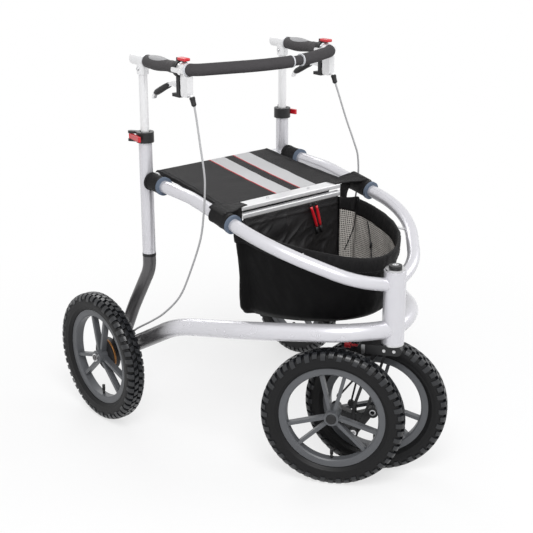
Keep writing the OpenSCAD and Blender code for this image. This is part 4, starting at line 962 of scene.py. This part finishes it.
def hem_spot(u, rise, depth):
    """A place on the wall, so far below the hem's top edge; the top stands above the wall by rise."""
    height = bag_point(u, 1.0)[0].z - bag_point(u, 0.0)[0].z
    p, out = bag_point(u, 1 - max(0.0, depth - rise) / height)
    return p + Vector((0, 0, max(0.0, rise - depth))), out


for i in range(HEM_STEPS + 1):
    u = fade(0.004, 0.996, i / HEM_STEPS)
    gather = 1.6 * wander(i * 0.42, 0, 2) + 1.3 * wander(i * 0.15, 3, 2)
    rise = HEM_RISE * ease(min(i, HEM_STEPS - i) / 9)
    drop = HEM_DROP + rise + 1.5 * wander(i * 0.05, 4, 4)
    ring = []
    for a, b in POUCH:
        thick = HEM_HALF * (0.8 + 0.2 * math.sin(math.pi * min(1, max(0, b))))
        p, out = hem_spot(u, rise, drop * (1 - b))
        ring.append(at(*(p + out * (a * thick + gather * (0.2 + 0.8 * b)))))
    hem_rings.append(ring)
    p, out = hem_spot(u, rise, drop * 0.86)
    hem_edge.append(p + out * 5.2)
hem = cloth_piece("bag_hem", loft(hem_rings))
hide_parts("bag_rim")
hem_seam = cloth_piece("bag_hem_stitches", stitches(hem_edge, 6.0), "thread")


def corner_tab(sign):
    """A short cloth tab that ties the bag's rear corner to the flap above it."""
    def surface(u, v):
        s = (u + 1) / 2
        y = 365.0 - 2.5 * math.sin(math.pi * s) + 1.5 * wander(s * 3, v * 4, sign)
        return Vector((sign * fade(167.5, fade(190, 214, v * v), s), y, fade(604, fade(653, 660, s), v)))
    return surface


tabs = [cloth_piece(f"bag_tab_{side}", sheet(corner_tab(sign), 16, 24, 2.0, Vector((0, 1, 0))))
        for side, sign in SIDES.items()]
print("hem rings:", len(hem_rings))

# %% [markdown]
# Two elastic cords are sewn to the net, and two short pull cords hang on the rear panel. The net's
# cords follow the wall's own surface formula, so they can't leave it. Each pull is a thick red cord
# with a black end, made as tubes whose radius swells a little in the middle.

# %% Cords on the net and the pulls
def black_part(name, shape, body="frame", sharp=None):
    """A small part of black plastic or rubber."""
    return piece(name, *shape, body, LOOK["black_plastic"], "black_plastic", sharp)


def wall_cord(name, stations):
    """A cord on the inside of the wall, through stations of (share round, share up)."""
    path = []
    for k in range(41):
        t = k / 40 * (len(stations) - 1)
        i = min(int(t), len(stations) - 2)
        spot = [fade(stations[i][n], stations[i + 1][n], ease(t - i)) for n in (0, 1)]
        p, out = bag_point(*spot)
        path.append(at(*(p - out * 4.4)))
    return black_part(name, tube(path, 0.0015, 10))


wall_cord("net_cord_rear", [(0.05, 0.9), (0.047, 0.68), (0.02, 0.38)])
wall_cord("net_cord_front", [(0.12, 0.84), (0.136, 0.65), (0.158, 0.42), (0.165, 0.25)])


def swollen(r, more):
    """A radius that grows by more towards the middle of a tube."""
    return lambda t: r + more * math.sin(math.pi * t)


p, out = bag_point(0.146, 0.57)
toggle_line = [at(*(p - out * 5 + Vector((0, 0, d)))) for d in (-8, -4, 4, 8)]
black_part("net_toggle", tube(toggle_line, swollen(0.0024, 0.0016), 14))
PULL_Y = 358.6
PULLS = (((57, 613), (79, 555), (80, 537)), ((75, 614), (91, 557), (96, 539)))
red, black = [], []
for (x0, z0), (x1, z1), (x2, z2) in PULLS:
    bow = [PULL_Y - 0.8 * math.sin(k * 0.39) for k in range(9)]
    line = [at(fade(x0, x1, k / 8), y, fade(z0, z1, k / 8)) for k, y in enumerate(bow)]
    red.append(tube(line, swollen(0.0034, 0.0006), 12))
    tip = [at(x1, PULL_Y, z1), at((x1 + x2) / 2, PULL_Y - 0.2, (z1 + z2) / 2), at(x2, PULL_Y + 0.2, z2)]
    black.append(tube(tip, 0.0042, 12))
    black.append(tube([at(x0, PULL_Y, z0), at(x0 - 2, 361, z0 + 7)], 0.003, 12))
pulls = piece("pull_cords", *merge(red), "frame", LOOK["red"], "red_plastic")
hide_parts("zip_pulls")
black_part("pull_ends", merge(black))
print("pull cords:", len(red), "net cords: 2")

# %% [markdown]
# The hand grips are soft mouldings that widen under the palm, with a pale oval pad on top and a thin
# pale ring at the rear end. A sculpted mesh would do, but a loft whose width and height come from
# two smooth bumps is easy to tune against the photograph. The pad is lifted off the same formula,
# so it follows the grip exactly.

# %% Grips
GRIP_FRONT, GRIP_REAR, BAR_Z, PALM = 531.7, 659.7, 983.0, 0.64


def grip_size(t):
    """Half width and half height at a share t of the grip's length."""
    waist = 1 - 0.09 * math.exp(-((t - 0.28) / 0.16) ** 2)
    palm = math.exp(-((t - PALM) / 0.24) ** 2)
    lip = 0.86 + 0.14 * ease(t / 0.035) * ease((1 - t) / 0.03)
    return (15.8 * waist + 5.6 * palm) * lip, (15.6 * waist + 2.4 * palm) * lip


def grip_point(sign, t, a, lift=0.0):
    """A point of the grip's skin, or lifted off it by lift millimetres."""
    wide, tall = grip_size(t)
    groove = lift + (0.35 * math.sin(t * 128 / 2.6) if 0.06 < t < 0.26 else 0.0)
    return at(sign * (SIDE_X + (wide + groove) * math.cos(a)), fade(GRIP_FRONT, GRIP_REAR, t),
              BAR_Z + (tall + groove) * math.sin(a))


def pad_rows(sign, nt=30, na=18):
    """The oval pad on top of the grip, as rows of points."""
    rows = []
    for i in range(nt + 1):
        along = 2 * i / nt - 1
        reach = math.sqrt(max(0.0, 1 - along ** 2))
        row = []
        for k in range(na + 1):
            across = 2 * k / na - 1
            rise = 1.1 * (1 - max(abs(across), abs(along)) ** 6) - 0.35
            row.append(grip_point(sign, fade(0.30, 0.87, i / nt), math.pi / 2 - across * reach, rise))
        rows.append(row)
    return rows


for side, sign in SIDES.items():
    rings = [[grip_point(sign, i / 70, 2 * math.pi * k / 48) for k in range(48)] for i in range(71)]
    grip = piece(f"grip_soft_{side}", *loft(rings), "handlebar", LOOK["grip"], "foam", sharp=60)
    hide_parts(f"grip_{side}")
    pad = loft(pad_rows(sign), closed_ring=False, cap=False)
    piece(f"grip_pad_{side}", *pad, "handlebar", LOOK["pad"], "pale_plastic")
    collar = [ring_about(at(sign * SIDE_X, GRIP_REAR - d, BAR_Z), Vector((0, 1, 0)), (r, r), 36)
              for d, r in ((3.4, 0.0145), (3.4, 0.0162), (0.2, 0.0162), (0.2, 0.0145))]
    piece(f"grip_ring_{side}", *loft(collar, cap=False), "handlebar", LOOK["pale"], "pale_plastic", sharp=40)
print("grips, widest at", [round(v, 1) for v in grip_size(PALM)], "mm from the bar's middle")

# %% [markdown]
# The controls carry small coloured parts: black finger sleeves on the brake blades, red caps on the
# parking levers, rubber boots where the cables leave, and socket heads on the elbows. Each is a
# short loft set on its CAD part, and it rides on that part's body, so it moves when the joint does.

# %% Brake and parking trim
def rounded_block(low, high, r, steps=4):
    """A box between two corners with all its edges rounded."""
    rings = []
    for j in range(2 * steps + 2):
        turn = math.pi / 2 * (j / steps if j <= steps else (2 * steps + 1 - j) / steps)
        inset, rise = r * (1 - math.sin(turn)), r * (1 - math.cos(turn))
        z = low.z + rise if j <= steps else high.z - rise
        ring = []
        for cx, cy, start in ((1, 1, 0), (-1, 1, 90), (-1, -1, 180), (1, -1, 270)):
            for k in range(steps + 1):
                b = math.radians(start + 90 * k / steps)
                x, y = high.x - r if cx > 0 else low.x + r, high.y - r if cy > 0 else low.y + r
                ring.append(Vector((x + (r - inset) * math.cos(b), y + (r - inset) * math.sin(b), z)))
        rings.append(ring)
    return loft(rings)


BLADE = [(558, 937.5, 0.62), (566, 935.5, 0.95), (580, 929.4, 1.0), (600, 919.3, 1.06),
         (617, 910.6, 1.02), (624, 907, 0.72)]
BLADE_HALF, BLADE_TALL = 0.0084, 0.0076
TAB_HALF, TAB_FRONT, TAB_BACK, TAB_LOW, TAB_TOP, TAB_ROUND = 9.2, 486.4, 518.0, 1003.2, 1011.0, 0.0028
for side, sign in SIDES.items():
    x = sign * SIDE_X
    rings = []
    for i, (y, z, swell) in enumerate(BLADE):
        a, b = BLADE[max(i - 1, 0)], BLADE[min(i + 1, len(BLADE) - 1)]
        along = Vector((0, b[0] - a[0], b[1] - a[1]))
        rings.append(ring_about(at(x, y, z), along, (BLADE_HALF * swell, BLADE_TALL * swell), 24))
    black_part(f"finger_sleeve_{side}", loft(rings), f"lever_{side}")
    cap = rounded_block(at(x - TAB_HALF, TAB_FRONT, TAB_LOW), at(x + TAB_HALF, TAB_BACK, TAB_TOP), TAB_ROUND)
    piece(f"thumb_tab_{side}", *cap, f"park_{side}", LOOK["red"], "red_plastic")
print("finger sleeves and thumb tabs on both sides")

# %% [markdown]
# Each brake cable is a steel wire in a pale hose. It hangs in a free bow from the lever and then runs
# down beside the lower tube to its stop. A Blender curve could follow the same route; here it is a
# mesh tube that is attached to no body. The route's points are those of the CAD source, in whole
# millimetres.

# %% Brake cables
CABLE_R = 0.0025
CABLE_ROUTE = [(234, 463, 899), (237, 451, 868), (244, 428, 805), (252, 404, 745), (258, 395, 708),
               (262, 396, 650), (264, 409, 579), (270, 446, 486), (278, 482, 412), (287, 537, 354),
               (295, 585, 318), (306, 640, 282), (313, 666, 259), (318, 686, 243), (318, 694, 242)]
CABLE_STEPS, BOW_START, BOW_END = 5, 1, 7


def smooth_path(points, steps):
    """A curve that passes smoothly through every point."""
    path = []
    for i in range(len(points) - 1):
        a, b = points[max(i - 1, 0)], points[i]
        c, d = points[i + 1], points[min(i + 2, len(points) - 1)]
        for t in (k / steps for k in range(steps)):
            square, cube = a * 2 - b * 5 + c * 4 - d, b * 3 - a - c * 3 + d
            path.append((b * 2 + (c - a) * t + square * t ** 2 + cube * t ** 3) / 2)
    return path + [points[-1]]


for side, sign in SIDES.items():
    path = smooth_path([at(sign * x, y, z) for x, y, z in CABLE_ROUTE], CABLE_STEPS)
    hose = tube(path, CABLE_R, 12, Vector((1, 0, 0)))
    cable = piece(f"cable_line_{side}", *hose, None, LOOK["cable"], "pale_plastic")
    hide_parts(f"brake_cable_{side}")
    bow = [path[i * CABLE_STEPS] for i in (BOW_START, BOW_END)]
    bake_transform(cable)

# %% Cable boots and elbow screws
BARREL_LEAN = math.radians(22)
LEAN = Vector((0, -math.sin(BARREL_LEAN), -math.cos(BARREL_LEAN)))
BARREL_Y, BARREL_Z = 473, 923
BOOT_STEPS = ((0.004, 0.0064), (0.006, 0.0072), (0.0095, 0.0072), (0.0105, 0.0066), (0.0145, 0.0066),
              (0.0155, 0.0063), (0.0243, 0.0063), (0.0252, 0.0047), (0.0272, 0.0041))
ELBOW_END, ELBOW_SIDE, ELBOW_Y, ELBOW_Z = 719.2, 14.8, 678, 962
for side, sign in SIDES.items():
    x = sign * SIDE_X
    barrel = at(x, BARREL_Y, BARREL_Z)
    boot = loft([ring_about(barrel + LEAN * d, LEAN, (r, r), 20) for d, r in BOOT_STEPS])
    black_part(f"cable_boot_{side}", boot, "handlebar", sharp=50)
    heads = [bolt(at(x, ELBOW_END, BAR_Z), Vector((0, 1, 0)), 0.0062, 0.0016)]
    for way in (-1, 1):
        heads.append(bolt(at(x + way * ELBOW_SIDE, ELBOW_Y, ELBOW_Z), Vector((way, 0, 0)), 0.0046, 0.003))
    piece(f"elbow_screws_{side}", *merge(heads), "handlebar", LOOK["steel"], "bright_steel")
print("boots and screws on both sides")

# %% Cap screw of the head tube
cap_top = max((nodes["fork_crown"].matrix_world @ Vector(c)).z for c in nodes["fork_crown"].bound_box)
screw = bolt(Vector((swivel.x, swivel.y, cap_top - 0.0002)), UP, 0.0075, 0.0022, 28)
piece("head_screw", *screw, "fork", LOOK["steel"], "bright_steel", sharp=40)
print("top of the head cap at", round(cap_top * 1000, 1), "mm")

# %% [markdown]
# The photograph was taken on white paper under large soft lights. The floor is nearly white and, for
# the camera and for reflections only, it is mixed with a white glow, so it reads as white paper but
# keeps the shadow under the wheels; further out the glow takes over. The world is white in the same
# way. Brighter lamps could whiten the floor as well, but they would burn out the silver tubes.

# %% Floor and world
def seen_ray(tree):
    """1 for rays that the eye or a reflection sees, 0 for those that light the scene."""
    path = tree.nodes.new("ShaderNodeLightPath")
    first = sums(tree, "MAXIMUM", path.outputs["Is Camera Ray"], path.outputs["Is Glossy Ray"])
    return sums(tree, "MAXIMUM", first, path.outputs["Is Transmission Ray"])


paper = finish("white_paper", (0.9, 0.9, 0.905), 0.7, mottle=(0.02, 2), spec=0.1)
tree = paper.node_tree
coord = tree.nodes.new("ShaderNodeTexCoord")
far = tree.nodes.new("ShaderNodeVectorMath")
far.operation = "LENGTH"
tree.links.new(coord.outputs["Object"], far.inputs[0])
share = tree.nodes.new("ShaderNodeMapRange")
share.interpolation_type = "SMOOTHSTEP"
for key, value in (("From Min", 0.5), ("From Max", 1.7), ("To Min", 0.68), ("To Max", 1.0)):
    share.inputs[key].default_value = value
tree.links.new(far.outputs["Value"], share.inputs["Value"])
glow = tree.nodes.new("ShaderNodeEmission")
mix = tree.nodes.new("ShaderNodeMixShader")
tree.links.new(sums(tree, "MULTIPLY", seen_ray(tree), share.outputs["Result"]), mix.inputs["Fac"])
tree.links.new(tree.nodes["Principled BSDF"].outputs["BSDF"], mix.inputs[1])
tree.links.new(glow.outputs["Emission"], mix.inputs[2])
tree.links.new(mix.outputs["Shader"], tree.nodes["Material Output"].inputs["Surface"])
floor_mesh = new_mesh("floor", [(-9, -9, 0), (9, -9, 0), (9, 9, 0), (-9, 9, 0)], [(0, 1, 2, 3)])
floor_mesh.materials.append(paper)
floor = bpy.data.objects.new("floor", floor_mesh)
bpy.context.scene.collection.objects.link(floor)
floor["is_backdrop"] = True

world = bpy.data.worlds.new("soft_sky")
bpy.context.scene.world = world
world.use_nodes = True
tree = world.node_tree
dim = tree.nodes["Background"]
dim.inputs["Color"].default_value = (1, 1, 1, 1)
dim.inputs["Strength"].default_value = 0.5
white = tree.nodes.new("ShaderNodeBackground")
white.inputs["Color"].default_value = (1, 1, 1, 1)
mix = tree.nodes.new("ShaderNodeMixShader")
tree.links.new(seen_ray(tree), mix.inputs["Fac"])
tree.links.new(dim.outputs["Background"], mix.inputs[1])
tree.links.new(white.outputs["Background"], mix.inputs[2])
tree.links.new(mix.outputs["Shader"], tree.nodes["World Output"].inputs["Surface"])
print("floor and world made")

# %% [markdown]
# Three large discs of light shape the tubes: a key from the camera's left, a weaker fill from its
# right and one from behind for the edges. Small lamps would make hard spots on the satin coat. The
# camera stands where the photographer stood: its place and lens were solved from the outlines of
# the four wheels, which are all the same size.

# %% Lights
def soft_light(name, place, aim, size, power):
    """A large disc of light that points at a place."""
    data = bpy.data.lights.new(name, "AREA")
    data.shape = "DISK"
    data.size = size
    data.energy = power
    ob = bpy.data.objects.new(name, data)
    bpy.context.scene.collection.objects.link(ob)
    ob.location = place
    ob.rotation_mode = "QUATERNION"
    ob.rotation_quaternion = (Vector(aim) - Vector(place)).to_track_quat("-Z", "Y")
    return ob


lights = [soft_light("key", (-1.6, -2.2, 3.4), (0, 0, 0.4), 2.2, 110),
          soft_light("fill", (2.8, -1.6, 2.2), (0, 0, 0.5), 2.2, 24),
          soft_light("back", (0.8, 3.2, 2.8), (0, 0, 0.5), 2.2, 36)]
print("lights:", [ob.name for ob in lights])

# %% Camera
cam_data = bpy.data.cameras.new("photo_camera")
cam_data.sensor_width = 36
cam_data.lens = 78.55
cam_data.clip_end = 60
camera = bpy.data.objects.new("photo_camera", cam_data)
bpy.context.scene.collection.objects.link(camera)
CAMERA_PLACE = (-1893.17, -1770.42, 1472.16)
axes = Matrix(((0.76377, -0.64548, 0), (0.21564, 0.25516, 0.94254), (-0.60840, -0.71989, 0.33408)))
camera.matrix_world = Matrix.Translation(at(*CAMERA_PLACE)) @ axes.transposed().to_4x4()
bpy.context.scene.camera = camera
bpy.context.scene.view_settings.view_transform = "Standard"
print("camera", round(camera.location.length, 2), "m from the middle, lens", cam_data.lens)

# %% [markdown]
# Last, the size of the dressed model is set beside that of the CAD model.

# %% Sizes and finish
visual_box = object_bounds()
for name, b in (("CAD", cad_box), ("visual", visual_box)):
    print(name, "box in mm:", [[round(c * 1000, 1) for c in v] for v in b])
